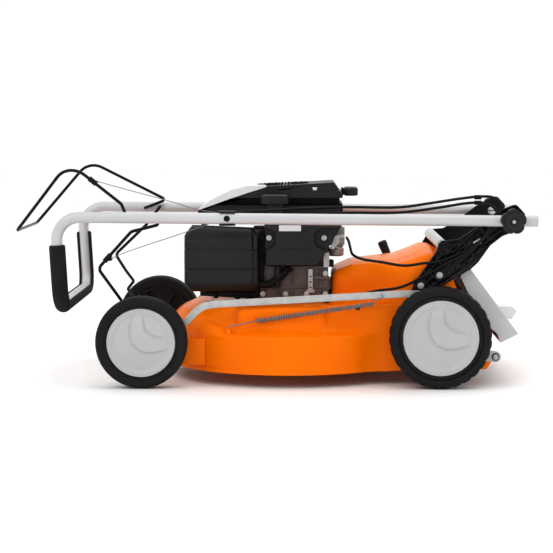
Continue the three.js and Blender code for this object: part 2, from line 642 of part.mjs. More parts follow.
// ---------- folding handle ----------
const HANDLE_LINE = [[516, -TUBE_Y, 326], [-422, -TUBE_Y, 333, 45], [-412, -TUBE_Y, 160, 38]];
function handleTubeGeometry() {
  const tube = bentBar(mirrored(HANDLE_LINE), TUBE_RADIUS, 38, 12, TUBE_RADIUS - TUBE_WALL);
  const cuts = SIDES.flatMap(({ sign }) => [
    barY(HANDLE_PIVOT.x, HANDLE_PIVOT.z, sign * 195, sign * 230, BOLT_RADIUS + 0.5),
    barY(STOP_PIVOT.x, STOP_PIVOT.z, sign * 195, sign * 212, BAIL_RADIUS + 0.5, 8),
    barY(DRIVE_PIVOT.x, DRIVE_PIVOT.z, sign * 195, sign * 212, BAIL_RADIUS + 0.5, 8),
  ]);
  return cut(tube, ...cuts);
}

addPart('handle_tube', handleTubeGeometry(), FINISH.tube);

const gripStart = [-418.8, -TUBE_Y, 278];
const gripLine = mirrored([gripStart, [-412, -TUBE_Y, 160, 38]]);
addPart('handle_grip', bentBar(gripLine, GRIP_RADIUS, 38, 12, TUBE_RADIUS + 1), FINISH.rubber);

function cableBracketGeometry() {
  const body = block([-104, -227, 316.5], [-73, -183, 345.5]);
  const tubeHole = bar([-120, -TUBE_Y, 330.75], [-60, -TUBE_Y, 330.3], TUBE_RADIUS + 0.5, 16);
  const bolt = barY(-89, 331, -229, -226, 6);
  return cut(join(body, bolt), tubeHole);
}

addPart('cable_bracket', cableBracketGeometry(), FINISH.engineBlack);

for (const { name, sign } of SIDES) {
  const outline = Array.from({ length: 30 }, (_, i) => {
    const angle = (i / 30) * 2 * Math.PI;
    const radius = 22.5 + 2.5 * Math.cos(5 * angle);
    return [HANDLE_PIVOT.x + radius * Math.cos(angle), HANDLE_PIVOT.z + radius * Math.sin(angle)];
  });
  const bore = barY(HANDLE_PIVOT.x, HANDLE_PIVOT.z, sign * 220, sign * 246, BOLT_RADIUS + 0.4);
  addPart(`knob_${name}`, cut(plateY(outline, sign * 226, sign * 252), bore), FINISH.engineBlack);
}

// ---------- bails ----------
const STOP_BAIL = [
  [-286, -208, 330.4], [-286, -195, 330.4, 5], [-297, -195, 358, 12], [-375, -195, 420, 16],
  [-392, -195, 424.6, 8], [-423, -192, 412, 16], [-512.5, -133, 302, 14],
  [-512.5, 133, 302, 14], [-423, 192, 413, 18], [-389, 195, 425, 12], [-319, 195, 391, 30],
  [-239.5, 195, 348.6, 4.2], [-286, 195, 330.4, 5], [-286, 208, 330.4],
];
const DRIVE_BAIL = [
  [-253, -208, 333], [-253, -184, 333, 5], [-217.5, -184, 318.6, 4.2], [-279, -184, 303, 12],
  [-345, -184, 230, 12], [-302, -165, 165.5, 20], [-263, -135, 105, 12],
  [-263, 135, 105, 12], [-304, 140, 141, 12], [-315, 176, 173, 10],
  [-349.6, 184, 230, 10], [-282, 184, 295, 14], [-253, 184, 333, 5], [-253, 208, 333],
];

const stopLug = block([-361, -200, 394], [-345, -186, 410]);
const driveLug = block([-334, -190, 242], [-318, -178, 258]);
addPart('stop_bail', join(bentBar(STOP_BAIL, BAIL_RADIUS, 10, 6), stopLug), FINISH.black);
addPart('drive_bail', join(bentBar(DRIVE_BAIL, BAIL_RADIUS, 10, 6), driveLug), FINISH.black);

const STOP_WIRE = [[-344.6, -190, 402], [-290, -190, 387], [-205, -190, 364], [-147, -190, 347], [-104.4, -190, 340]];
const DRIVE_WIRE = [[-316.8, -187, 250.5], [-296, -188, 260], [-170, -190, 303], [-125, -190, 319], [-104.4, -190, 325]];
addPart('stop_wire', cable(STOP_WIRE, 1.2, 8), FINISH.steel);
addPart('drive_wire', cable(DRIVE_WIRE, 1.2, 8), FINISH.steel);

// ---------- cables and spring ----------
const STOP_CABLE = [
  [-72.6, -190.2, 341], [0, -190.2, 346], [136, -190.2, 352], [250, -190.2, 352], [309, -190.2, 360],
  [368, -190.2, 369], [407, -190.2, 373], [431, -190.2, 371], [446, -190.2, 359], [446, -190.2, 340],
  [438, -190.2, 322], [425, -190.2, 303], [403, -190.2, 282], [380, -190.2, 267], [352, -190.2, 255],
  [325, -190.2, 245], [297, -190.2, 242], [258, -188, 237], [216, -182, 243], [175, -160, 248],
  [158, -135, 255], [154, -112, 266], [151, -92, 278], [147.5, -70, 284],
];
const DRIVE_CABLE = [
  [-72.6, -190.2, 326], [0, -191, 332], [136, -195, 341], [250, -195.8, 342], [328, -195.8, 352],
  [378, -195.8, 360], [403, -195.8, 361], [424, -195.8, 357], [437, -195.8, 344], [434, -195.8, 326],
  [420, -195.8, 305], [400, -195.8, 278], [380, -195, 262], [343, -192, 243], [310, -190.4, 223],
  [286, -190.4, 211], [270, -190.4, 202], [245, -190.4, 193], [209, -190.2, 188], [186, -187, 183],
  [171, -174, 177], [168, -168, 168],
];
addPart('stop_cable', cable(STOP_CABLE, CABLE_RADIUS, 38), FINISH.rubber);
addPart('drive_cable', cable(DRIVE_CABLE, CABLE_RADIUS, 38), FINISH.rubber);

// The assist spring's coil is one round bar; its end wires hook over the deck's tab and the bar's pin.
const SPRING_Y = -206;
const springParts = [
  bar([-21, SPRING_Y, 131], [196, SPRING_Y, 164], 5.3, 8),
  bar([-87, SPRING_Y, 117], [-15, SPRING_Y, 131.5], 1.6, 6),
  bar([190, SPRING_Y, 164], [208.6, SPRING_Y, 173.5], 1.6, 6),
];
addPart('assist_spring', join(...springParts), FINISH.steel);

export default mower;
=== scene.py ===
"""Looks of the push lawn mower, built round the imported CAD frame.

Sizes are in millimetres unless they say otherwise.
"""

import math

import bmesh
import bpy
import numpy as np
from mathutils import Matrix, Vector
from mathutils.geometry import delaunay_2d_cdt


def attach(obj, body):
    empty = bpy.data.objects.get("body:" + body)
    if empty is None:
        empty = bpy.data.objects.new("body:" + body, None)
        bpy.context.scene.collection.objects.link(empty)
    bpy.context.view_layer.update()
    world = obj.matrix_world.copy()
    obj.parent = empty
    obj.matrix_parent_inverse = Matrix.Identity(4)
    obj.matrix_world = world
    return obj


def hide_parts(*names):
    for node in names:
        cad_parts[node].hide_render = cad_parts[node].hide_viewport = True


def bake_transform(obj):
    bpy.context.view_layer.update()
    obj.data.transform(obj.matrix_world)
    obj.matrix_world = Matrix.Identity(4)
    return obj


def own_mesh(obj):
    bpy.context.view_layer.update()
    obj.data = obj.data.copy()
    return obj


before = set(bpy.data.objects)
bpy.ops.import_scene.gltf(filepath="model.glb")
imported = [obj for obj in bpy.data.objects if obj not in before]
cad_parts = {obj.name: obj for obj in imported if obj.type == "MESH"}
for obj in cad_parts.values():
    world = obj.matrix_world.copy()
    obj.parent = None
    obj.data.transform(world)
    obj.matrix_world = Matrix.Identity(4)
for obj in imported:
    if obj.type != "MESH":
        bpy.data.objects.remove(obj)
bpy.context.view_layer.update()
scene = bpy.context.scene
MM = 0.001
SIDES = (("left", -1), ("right", 1))


# ---------- camera, light and floor ----------
def aim(obj, target):
    obj.rotation_euler = (Vector(target) - obj.location).to_track_quat("-Z", "Y").to_euler()


camera = bpy.data.objects.new("camera", bpy.data.cameras.new("camera"))
scene.collection.objects.link(camera)
camera.location = (0.071, -3.75, 0.5306)
aim(camera, (0.0082, -0.25, 0.2206))
camera.data.lens = 118.3
camera.data.sensor_width = 36
scene.camera = camera


def softbox(name, place, target, size, watts):
    lamp = bpy.data.lights.new(name, "AREA")
    lamp.size, lamp.energy = size, watts
    obj = bpy.data.objects.new(name, lamp)
    scene.collection.objects.link(obj)
    obj.location = place
    aim(obj, target)


softbox("key", (-1.6, -2.2, 2.6), (0, 0, 0.2), 1.6, 15)
softbox("top", (0.5, 0.2, 2.4), (0.05, 0, 0.2), 2.2, 13)
softbox("rear", (2.4, 1.8, 1.6), (0, 0, 0.2), 1.6, 7)

world = bpy.data.worlds.new("studio")
world.use_nodes = True
world.node_tree.nodes["Background"].inputs["Color"].default_value = (1, 1, 1, 1)
world.node_tree.nodes["Background"].inputs["Strength"].default_value = 1.04
scene.world = world
scene.view_settings.view_transform = "Standard"
scene.view_settings.gamma = 0.8


# ---------- materials ----------
def linear(rgb):
    return [((c / 255 + 0.055) / 1.055) ** 2.4 if c > 10 else c / 255 / 12.92 for c in rgb] + [1]


class Finish:
    """A procedural material in the object's own space: colour drift, mottled roughness and a fine bump."""

    def __init__(self, name, rgb, roughness, metallic=0.0, specular=0.5, coat=0.0):
        self.material = bpy.data.materials.new(name)
        self.material.use_nodes = True
        self.tree = self.material.node_tree
        self.shader = self.tree.nodes["Principled BSDF"]
        self.rgb, self.roughness = rgb, roughness
        self.shader.inputs["Metallic"].default_value = metallic
        self.shader.inputs["Specular IOR Level"].default_value = specular
        self.shader.inputs["Coat Weight"].default_value = coat
        self.shader.inputs["Coat Roughness"].default_value = 0.08
        self.space = self.node("ShaderNodeTexCoord").outputs["Object"]

    def node(self, kind, **values):
        made = self.tree.nodes.new(kind)
        for key, value in values.items():
            if key in made.inputs:
                made.inputs[key].default_value = value
            else:
                setattr(made, key, value)
        return made

    def link(self, out, into):
        self.tree.links.new(out, into)

    def noise(self, scale, detail=3.0):
        made = self.node("ShaderNodeTexNoise", Scale=scale, Detail=detail)
        self.link(self.space, made.inputs["Vector"])
        return made.outputs["Fac"]

    def cells(self, scale):
        made = self.node("ShaderNodeTexVoronoi", Scale=scale)
        self.link(self.space, made.inputs["Vector"])
        return made

    def colour(self, pattern, drift):
        """The base colour runs from darker to lighter by drift."""
        ramp = self.node("ShaderNodeValToRGB")
        ramp.color_ramp.elements[0].position = 0.3
        ramp.color_ramp.elements[1].position = 0.72
        ramp.color_ramp.elements[0].color = linear([c * (1 - drift) for c in self.rgb])
        ramp.color_ramp.elements[1].color = linear([min(255, c * (1 + drift)) for c in self.rgb])
        self.link(pattern, ramp.inputs["Fac"])
        self.link(ramp.outputs["Color"], self.shader.inputs["Base Color"])

    def rough(self, pattern, spread):
        span = self.node("ShaderNodeMapRange")
        span.inputs["To Min"].default_value = self.roughness - spread
        span.inputs["To Max"].default_value = self.roughness + spread
        self.link(pattern, span.inputs["Value"])
        self.link(span.outputs["Result"], self.shader.inputs["Roughness"])

    def bump(self, *layers):
        """Each layer is a pattern, a strength and a depth in metres."""
        normal = None
        for pattern, strength, depth in layers:
            made = self.node("ShaderNodeBump", Strength=strength, Distance=depth)
            self.link(pattern, made.inputs["Height"])
            if normal:
                self.link(normal, made.inputs["Normal"])
            normal = made.outputs["Normal"]
        self.link(normal, self.shader.inputs["Normal"])


FINISHES = {}


def finish(
    name, rgb, roughness, drift=0.04, drift_scale=9, grain=0.12, grain_scale=900,
    depth=0.0003, mottle=0.05, **shader,
):
    made = Finish(name, rgb, roughness, **shader)
    broad = made.noise(drift_scale, 5)
    fine = made.noise(grain_scale, 2)
    made.colour(broad, drift)
    made.rough(made.noise(drift_scale * 6, 4), mottle)
    made.bump((fine, grain, depth))
    FINISHES[name] = made


finish("deck_paint", (252, 130, 0), 0.26, 0.03, 7, 0.05, 420, 0.0002, 0.04, specular=0.1)
finish("black_paint", (8, 8, 9), 0.26, 0.2, 20, 0.08, 500, 0.0003, 0.06, specular=0.3)
finish("engine_plastic", (44, 44, 45), 0.38, 0.07, 14, 0.2, 1100, 0.0003, specular=0.32)
finish("casting", (160, 158, 154), 0.46, 0.1, 40, 0.5, 700, 0.0006, 0.1, metallic=0.4)
finish("dark_casting", (106, 99, 97), 0.55, 0.08, 30, 0.5, 700, 0.0006, 0.1, metallic=0.1)
finish("tube_finish", (202, 202, 203), 0.34, 0.02, 8, 0.06, 700, 0.0002, 0.05, metallic=0.12)
finish("zinc", (192, 193, 192), 0.36, 0.05, 70, 0.12, 800, 0.0002, 0.08, metallic=0.45)
finish("steel", (138, 139, 142), 0.4, 0.08, 60, 0.14, 900, 0.0002, 0.08, metallic=0.2)
finish("tyre", (34, 34, 35), 0.62, 0.08, 30, 0.45, 1300, 0.0004, 0.06, specular=0.25)
finish("wheel_plastic", (190, 190, 190), 0.42, 0.015, 12, 0.12, 1400, 0.0002, specular=0.35)
finish("flap_plastic", (204, 204, 205), 0.5, 0.02, 10, 0.2, 1200, 0.0003, specular=0.35)
finish("trim", (226, 226, 228), 0.3, 0.02, 12, 0.05, 600, 0.0002, metallic=0.1, coat=0.3)
finish("rubber", (20, 20, 21), 0.62, 0.1, 30, 0.3, 1000, 0.0003, specular=0.3)
finish("grip_rubber", (38, 38, 39), 0.78, 0.1, 50, 0.6, 1500, 0.0006, specular=0.25)
finish("cable_sheath", (14, 14, 15), 0.42, 0.1, 40, 0.12, 800, 0.0002, specular=0.35)
finish("filter_paper", (206, 196, 170), 0.8, 0.08, 120, 0.6, 900, 0.0008, 0.05, specular=0.2)


def add_spangle():
    made = FINISHES["zinc"]
    cells = made.cells(230)
    made.rough(cells.outputs["Distance"], 0.1)


def add_floor():
    made = Finish("floor", (252, 252, 252), 0.8, specular=0.1)
    made.colour(made.noise(1.5, 3), 0.008)
    made.bump((made.noise(160, 3), 0.05, 0.001))
    reach = 14
    corners = [(-reach, -reach, 0), (reach, -reach, 0), (reach, reach, 0), (-reach, reach, 0)]
    mesh = bpy.data.meshes.new("floor")
    mesh.from_pydata(corners, [], [(0, 1, 2, 3)])
    mesh.materials.append(made.material)
    floor = bpy.data.objects.new("floor", mesh)
    scene.collection.objects.link(floor)


add_spangle()
add_floor()


# ---------- outlines and paths ----------
def rounded(outline, radius, steps=5):
    """A closed outline with its corners rounded. A corner's third number is its own radius."""
    made = []
    count = len(outline)
    for i, corner in enumerate(outline):
        here = np.array(corner[:2], float)
        before = np.array(outline[i - 1][:2], float) - here
        after = np.array(outline[(i + 1) % count][:2], float) - here
        lengths = np.linalg.norm(before), np.linalg.norm(after)
        a, b = before / lengths[0], after / lengths[1]
        angle = math.acos(max(-1, min(1, float(a @ b))))
        wanted = corner[2] if len(corner) > 2 else radius
        reach = min(wanted / math.tan(angle / 2), 0.49 * min(lengths))
        if reach < 0.05 or angle > math.pi - 0.02:
            made.append(tuple(here))
            continue
        for k in range(steps + 1):
            t = k / steps
            made.append(tuple(here + a * reach * (1 - t) ** 2 + b * reach * t**2))
    return made


def bent(corners, radius=10.0, step=math.radians(9)):
    """Straight runs joined by round bends. A corner's fourth number is its own bend radius."""
    points = [Vector(c[:3]) for c in corners]
    made = [points[0]]
    for i in range(1, len(points) - 1):
        arriving = (points[i] - points[i - 1]).normalized()
        leaving = (points[i + 1] - points[i]).normalized()
        turn = arriving.angle(leaving)
        if turn < 0.01:
            continue
        bend = corners[i][3] if len(corners[i]) > 3 else radius
        start = points[i] - arriving * bend * math.tan(turn / 2)
        inward = (leaving - arriving * leaving.dot(arriving)).normalized()
        centre = start + inward * bend
        count = max(3, math.ceil(turn / step))
        for k in range(count + 1):
            angle = turn * k / count
            made.append(centre - inward * bend * math.cos(angle) + arriving * bend * math.sin(angle))
    made.append(points[-1])
    return made


def spline(points, per_span=8):
    """The centripetal curve through the points that the CAD's cables follow."""
    known = [Vector(p) for p in points]
    known = [known[0] * 2 - known[1], *known, known[-1] * 2 - known[-2]]
    made = []
    for p0, p1, p2, p3 in zip(known, known[1:], known[2:], known[3:]):
        d0, d1, d2 = (math.sqrt((b - a).length) for a, b in ((p0, p1), (p1, p2), (p2, p3)))
        t1 = ((p1 - p0) / d0 - (p2 - p0) / (d0 + d1) + (p2 - p1) / d1) * d1
        t2 = ((p2 - p1) / d1 - (p3 - p1) / (d1 + d2) + (p3 - p2) / d2) * d1
        for k in range(per_span):
            t = k / per_span
            ends = p1 * (2 * t**3 - 3 * t**2 + 1) + p2 * (3 * t**2 - 2 * t**3)
            made.append(ends + t1 * (t**3 - 2 * t**2 + t) + t2 * (t**3 - t**2))
    return [*made, known[-2]]


def mirrored(corners):
    return [*corners, *[(c[0], -c[1], *c[2:]) for c in reversed(corners)]]


def ring(radius, count=16, start=0.0):
    angles = [start + 2 * math.pi * i / count for i in range(count)]
    return [(radius * math.cos(angle), radius * math.sin(angle)) for angle in angles]


def arc(x, z, radius, start, end, steps=14):
    """Points on a circle between two angles in degrees."""
    a, b = math.radians(start), math.radians(end)
    return [(x + radius * math.cos(t), z + radius * math.sin(t)) for t in np.linspace(a, b, steps)]


def strip(points, width):
    """The outline of a band of even width along a path."""
    upper, lower = [], []
    for i, (x, z) in enumerate(points):
        px, pz = points[max(i - 1, 0)]
        nx, nz = points[min(i + 1, len(points) - 1)]
        before, after = math.atan2(z - pz, x - px), math.atan2(nz - z, nx - x)
        start = after if i == 0 else before
        end = before if i == len(points) - 1 else after
        middle = (start + end) / 2
        reach = width / 2 / math.cos((end - start) / 2)
        upper.append((x - reach * math.sin(middle), z + reach * math.cos(middle)))
        lower.insert(0, (x + reach * math.sin(middle), z - reach * math.cos(middle)))
    return upper + lower


def helix(start, end, radius, turns, steps=12):
    start, end = Vector(start), Vector(end)
    along = (end - start).normalized()
    u = Vector((0, 1, 0))
    v = along.cross(u)
    made = []
    for i in range(turns * steps + 1):
        angle = 2 * math.pi * i / steps
        at = start.lerp(end, i / (turns * steps))
        made.append(at + u * radius * math.cos(angle) + v * radius * math.sin(angle))
    return made


# ---------- shapes: each returns (corners, faces) ----------
def sweep(path, section, side=None, scales=None):
    """The section swept along the path without twisting. Its first axis starts along side."""
    path = [Vector(p) for p in path]
    count = len(section)
    tangents = [
        (path[min(i + 1, len(path) - 1)] - path[max(i - 1, 0)]).normalized() for i in range(len(path))
    ]
    u = Vector(side) if side else tangents[0].orthogonal()
    corners, faces = [], []
    for i, (place, tangent) in enumerate(zip(path, tangents)):
        u = (u - tangent * u.dot(tangent)).normalized()
        v = tangent.cross(u)
        size = scales[i] if scales else 1.0
        corners += [tuple(place + (u * a + v * b) * size) for a, b in section]
        if i:
            base = (i - 1) * count
            for k in range(count):
                n = (k + 1) % count
                faces.append((base + k, base + n, base + count + n, base + count + k))
    faces += [tuple(reversed(range(count))), tuple(range(len(corners) - count, len(corners)))]
    return corners, faces


def rod(path, radius, sides=14):
    return sweep(path, ring(radius, sides))


def round_bar(x, z, y0, y1, radius, sides=28):
    return rod([(x, min(y0, y1), z), (x, max(y0, y1), z)], radius, sides)


def block(low, high):
    (x0, y0, z0), (x1, y1, z1) = low, high
    return plate([(x0, z0), (x1, z0), (x1, z1), (x0, z1)], y0, y1)


def plate(outline, y0, y1):
    """An outline in X and Z, from y0 to y1."""
    count = len(outline)
    corners = [(x, y, z) for y in (y0, y1) for x, z in outline]
    faces = [(i, (i + 1) % count, count + (i + 1) % count, count + i) for i in range(count)]
    return corners, [tuple(reversed(range(count))), tuple(range(count, 2 * count)), *faces]


def slab_x(outline, x0, x1):
    """An outline in Y and Z, from x0 to x1."""
    corners, faces = plate(outline, x0, x1)
    return [(y, x, z) for x, y, z in corners], faces


def round_x(y, z, x0, x1, radius, sides=20):
    return rod([(x0, y, z), (x1, y, z)], radius, sides)


def slab(outline, z0, z1):
    """An outline in X and Y, from z0 to z1."""
    corners, faces = plate(outline, z0, z1)
    return [(x, z, y) for x, y, z in corners], faces


def lathe(profile, centre, axis="Z", sides=64, wobble=None):
    """A closed profile of radius and height turned about an axis; wobble(angle, index) adds to the radius."""
    corners, faces = [], []
    count = len(profile)
    for i in range(sides):
        angle = 2 * math.pi * i / sides
        for k, (r, h) in enumerate(profile):
            size = r + (wobble(angle, k) if wobble else 0)
            a, b = size * math.cos(angle), size * math.sin(angle)
            if axis == "Z":
                corners.append((centre[0] + a, centre[1] + b, centre[2] + h))
            elif axis == "Y":
                corners.append((centre[0] + a, centre[1] + h, centre[2] + b))
            else:
                corners.append((centre[0] + h, centre[1] + a, centre[2] + b))
        for k in range(count):
            n = (k + 1) % count
            j = (i + 1) % sides
            faces.append((i * count + k, i * count + n, j * count + n, j * count + k))
    return corners, faces


def facing(profile, x, y, z, sign, sides):
    """A lathe about Y that stands on y and faces outwards, towards sign."""
    return lathe([(r, sign * h) for r, h in profile], (x, y, z), "Y", sides)


def inside_distance(points, outline):
    """Distance from each point to a closed outline, positive inside."""
    p = np.asarray(points, float)[:, None, :]
    a = np.asarray(outline, float)[None, :, :2]
    b = np.roll(a, -1, axis=1)
    ab, ap = b - a, p - a
    t = np.clip((ap * ab).sum(-1) / np.maximum((ab * ab).sum(-1), 1e-12), 0, 1)
    nearest = np.linalg.norm(ap - t[..., None] * ab, axis=-1).min(1)
    crosses = (a[..., 1] > p[..., 1]) != (b[..., 1] > p[..., 1])
    dz = np.where(np.abs(ab[..., 1]) < 1e-12, 1e-12, ab[..., 1])
    x = a[..., 0] + (p[..., 1] - a[..., 1]) * ab[..., 0] / dz
    odd = ((crosses & (p[..., 0] < x)).sum(1) % 2) == 1
    return np.where(odd, nearest, -nearest)


def line_distance(x, z, path):
    best = np.full(x.shape, 1e9)
    for (ax, az), (bx, bz) in zip(path, path[1:]):
        span = (bx - ax) ** 2 + (bz - az) ** 2
        t = np.clip(((x - ax) * (bx - ax) + (z - az) * (bz - az)) / span, 0, 1)
        best = np.minimum(best, np.hypot(x - ax - t * (bx - ax), z - az - t * (bz - az)))
    return best


class Field:
    """Signed distance to an outline, positive outside, read off a fine grid."""

    def __init__(self, outline, step=0.8, margin=14):
        self.low, self.step = np.min(outline, 0) - margin, step
        counts = np.ceil((np.max(outline, 0) + margin - self.low) / step).astype(int) + 1
        gx, gz = np.meshgrid(*[self.low[i] + step * np.arange(counts[i]) for i in (0, 1)], indexing="ij")
        self.values = -inside_distance(np.column_stack([gx.ravel(), gz.ravel()]), outline).reshape(gx.shape)

    def __call__(self, x, z):
        spans = zip((x, z), self.low, self.values.shape)
        place = [np.clip((v - low) / self.step, 0, n - 1.001) for v, low, n in spans]
        (i, j), (u, v) = [p.astype(int) for p in place], [p % 1 for p in place]
        g = self.values
        low = g[i, j] * (1 - u) + g[i + 1, j] * u
        high = g[i, j + 1] * (1 - u) + g[i + 1, j + 1] * u
        return low * (1 - v) + high * v


def relief(outline, y_face, y_back, depth, spacing=3.0):
    """A plate in X and Z whose face is a height field.

    depth(x, z, distance from the edge) is measured back from y_face.
    """
    dense = []
    for a, b in zip(outline, [*outline[1:], outline[0]]):
        steps = max(1, round(math.dist(a[:2], b[:2]) / spacing))
        dense += [(a[0] + (b[0] - a[0]) * k / steps, a[1] + (b[1] - a[1]) * k / steps) for k in range(steps)]
    low, high = np.min(dense, 0), np.max(dense, 0)
    gx, gz = np.meshgrid(np.arange(low[0], high[0], spacing), np.arange(low[1], high[1], spacing))
    grid = np.column_stack([gx.ravel(), gz.ravel()])
    grid = grid[inside_distance(grid, outline) > spacing * 0.45]
    points = [Vector(p) for p in dense] + [Vector(p) for p in grid]
    edges = [(i, (i + 1) % len(dense)) for i in range(len(dense))]
    flat, _, faces, *_ = delaunay_2d_cdt(points, edges, [], 1, 1e-6)
    flat = np.array([tuple(p) for p in flat])
    inner = inside_distance(flat, outline)
    count = len(flat)
    forward = 1 if y_back > y_face else -1
    ys = y_face + forward * depth(flat[:, 0], flat[:, 1], np.maximum(inner, 0))
    corners = [(x, y, z) for (x, z), y in zip(flat, ys)] + [(x, y_back, z) for x, z in flat]
    rim = {}
    for f in faces:
        for i, a in enumerate(f):
            b = f[(i + 1) % len(f)]
            if (b, a) in rim:
                del rim[(b, a)]
            else:
                rim[(a, b)] = True
    walls = [(b, a, a + count, b + count) for a, b in rim]
    back = [tuple(reversed([i + count for i in f])) for f in faces]
    return corners, [tuple(f) for f in faces] + back + walls


def merged(*shapes):
    corners, faces = [], []
    for c, f in shapes:
        base = len(corners)
        corners += list(c)
        faces += [tuple(i + base for i in face) for face in f]
    return corners, faces


def turned(shape, centre, angle, axis="Y"):
    """The shape turned about an axis through centre; a positive angle takes +X towards +Z (Y) or +Y (Z)."""
    c, s = math.cos(angle), math.sin(angle)
    j = 2 if axis == "Y" else 1
    made = []
    for p in shape[0]:
        q = list(p)
        a, b = p[0] - centre[0], p[j] - centre[j]
        q[0], q[j] = centre[0] + a * c - b * s, centre[j] + a * s + b * c
        made.append(tuple(q))
    return made, shape[1]


def smooth(t):
    t = np.clip(t, 0, 1)
    return t * t * (3 - 2 * t)


def edge_round(distance, radius):
    d = np.clip(radius - distance, 0, radius)
    return radius - np.sqrt(radius * radius - d * d)


# ---------- pieces ----------
def soften(obj, width, segments=3, angle=34):
    if width:
        made = obj.modifiers.new("bevel", "BEVEL")
        made.width, made.segments = width * MM, segments
        made.limit_method, made.angle_limit = "ANGLE", math.radians(angle)
        made.harden_normals = False
    made = obj.modifiers.new("normals", "WEIGHTED_NORMAL")
    made.keep_sharp = True


def piece(name, shape, slot, body, replaced=(), bevel=0.0, segments=3, sharp=38):
    mesh = bpy.data.meshes.new(name)
    mesh.from_pydata([tuple(c * MM for c in p) for p in shape[0]], [], shape[1])
    bm = bmesh.new()
    bm.from_mesh(mesh)
    bmesh.ops.remove_doubles(bm, verts=bm.verts, dist=1e-6)
    bmesh.ops.dissolve_degenerate(bm, edges=bm.edges, dist=1e-7)
    bmesh.ops.recalc_face_normals(bm, faces=bm.faces)
    bm.to_mesh(mesh)
    bm.free()
    mesh.materials.append(FINISHES[slot].material)
    mesh.shade_smooth()
    mesh.set_sharp_from_angle(angle=math.radians(sharp))
    obj = bpy.data.objects.new(name, mesh)
    scene.collection.objects.link(obj)
    if bevel:
        soften(obj, bevel, segments)
    if body:
        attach(obj, body)
    if replaced:
        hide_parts(*([replaced] if isinstance(replaced, str) else replaced))
    return obj


def carried(node, slot, bevel=0.6, segments=2):
    """A CAD node that stays: welded, its edges broken, with its material."""
    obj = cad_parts[node]
    obj.data.materials.clear()
    obj.data.materials.append(FINISHES[slot].material)
    weld = obj.modifiers.new("weld", "WELD")
    weld.merge_threshold = 2e-5
    obj.data.shade_smooth()
    obj.data.set_sharp_from_angle(angle=math.radians(34))
    soften(obj, bevel, segments)


def hex_bolt(name, x, z, y, sign, size, slot, body, height=4.0, washer=1.5):
    """A flanged hexagon bolt head facing along Y, with its flange on y."""
    head = plate([(x + size * a, z + size * b) for a, b in ring(1, 6, 0.3)], y, y + sign * height)
    profile = [(0, 0), (size * 1.45, 0), (size * 1.45, washer * 0.6), (size * 1.2, washer), (0, washer)]
    flange = facing(profile, x, y, z, sign, 32)
    return piece(name, merged(head, flange), slot, body, bevel=0.5, segments=2)


# ---------- wheels: X of each axle, and the radius, which is also its height ----------
WHEELS = {"front": (-256, 90), "rear": (327.5, 100)}
WHEEL_MID_Y = 227.5
TREAD_WEIGHTS = {8: 0.16, 9: 0.55, 10: 0.95, 11: 1.0, 12: 1.0, 13: 1.0, 14: 0.4, 15: 0.4}


def tyre_shape(kind, x, z, sign):
    """Profile across the tread from the outer bead to the inner one, with the outer side first."""
    if kind == "front":
        outer = [
            (67.6, 19.0), (69, 21.2), (71, 21.4), (72, 20.0), (74, 20.4), (79, 22.2), (84, 22.3),
            (86.6, 21.2), (88.4, 18.6), (89.4, 14.5), (89.8, 9), (89.0, 8.6), (89.0, 7.8), (89.9, 7.4),
            (90, 1.2), (89.1, 0.8),
        ]
        wobble = None
    else:
        outer = [
            (74.6, 18.5), (76, 21.0), (78.5, 21.4), (80, 20.8), (80.8, 19.0), (82.4, 18.8), (83.4, 21.2),
            (88, 22.4), (93.5, 22.0), (96.4, 20.4), (98.6, 17.6), (99.6, 13), (100, 8), (100, 1.5),
            (98.6, 1.2), (98.6, 0.6),
        ]

        def wobble(angle, k):
            near = min(k, 2 * len(outer) - 1 - k)
            weight = TREAD_WEIGHTS.get(near, 0)
            lean = 0.05 * (near - 10) / 3
            wave = math.cos(28 * (angle + lean))
            return -1.6 * weight * max(0.0, min(1.0, 0.5 + 1.6 * (wave - 0.35)))

    profile = outer + [(a, -b) for a, b in reversed(outer)]
    profile = [(a, sign * b) for a, b in profile]
    return lathe(profile, (x, sign * WHEEL_MID_Y, z), "Y", 224 if kind == "rear" else 120, wobble)


STRAP = [
    (-0.22, 0.84), (-0.31, 0.54), (-0.31, 0.19), (-0.24, -0.04), (-0.07, -0.2), (0.125, -0.29),
    (0.356, -0.29), (0.625, -0.23), (0.82, -0.17), (0.82, 0.1), (0.567, 0.125), (0.375, 0.163), (0.2, 0.27),
    (0.106, 0.385), (0.077, 0.58), (0.077, 0.84),
]


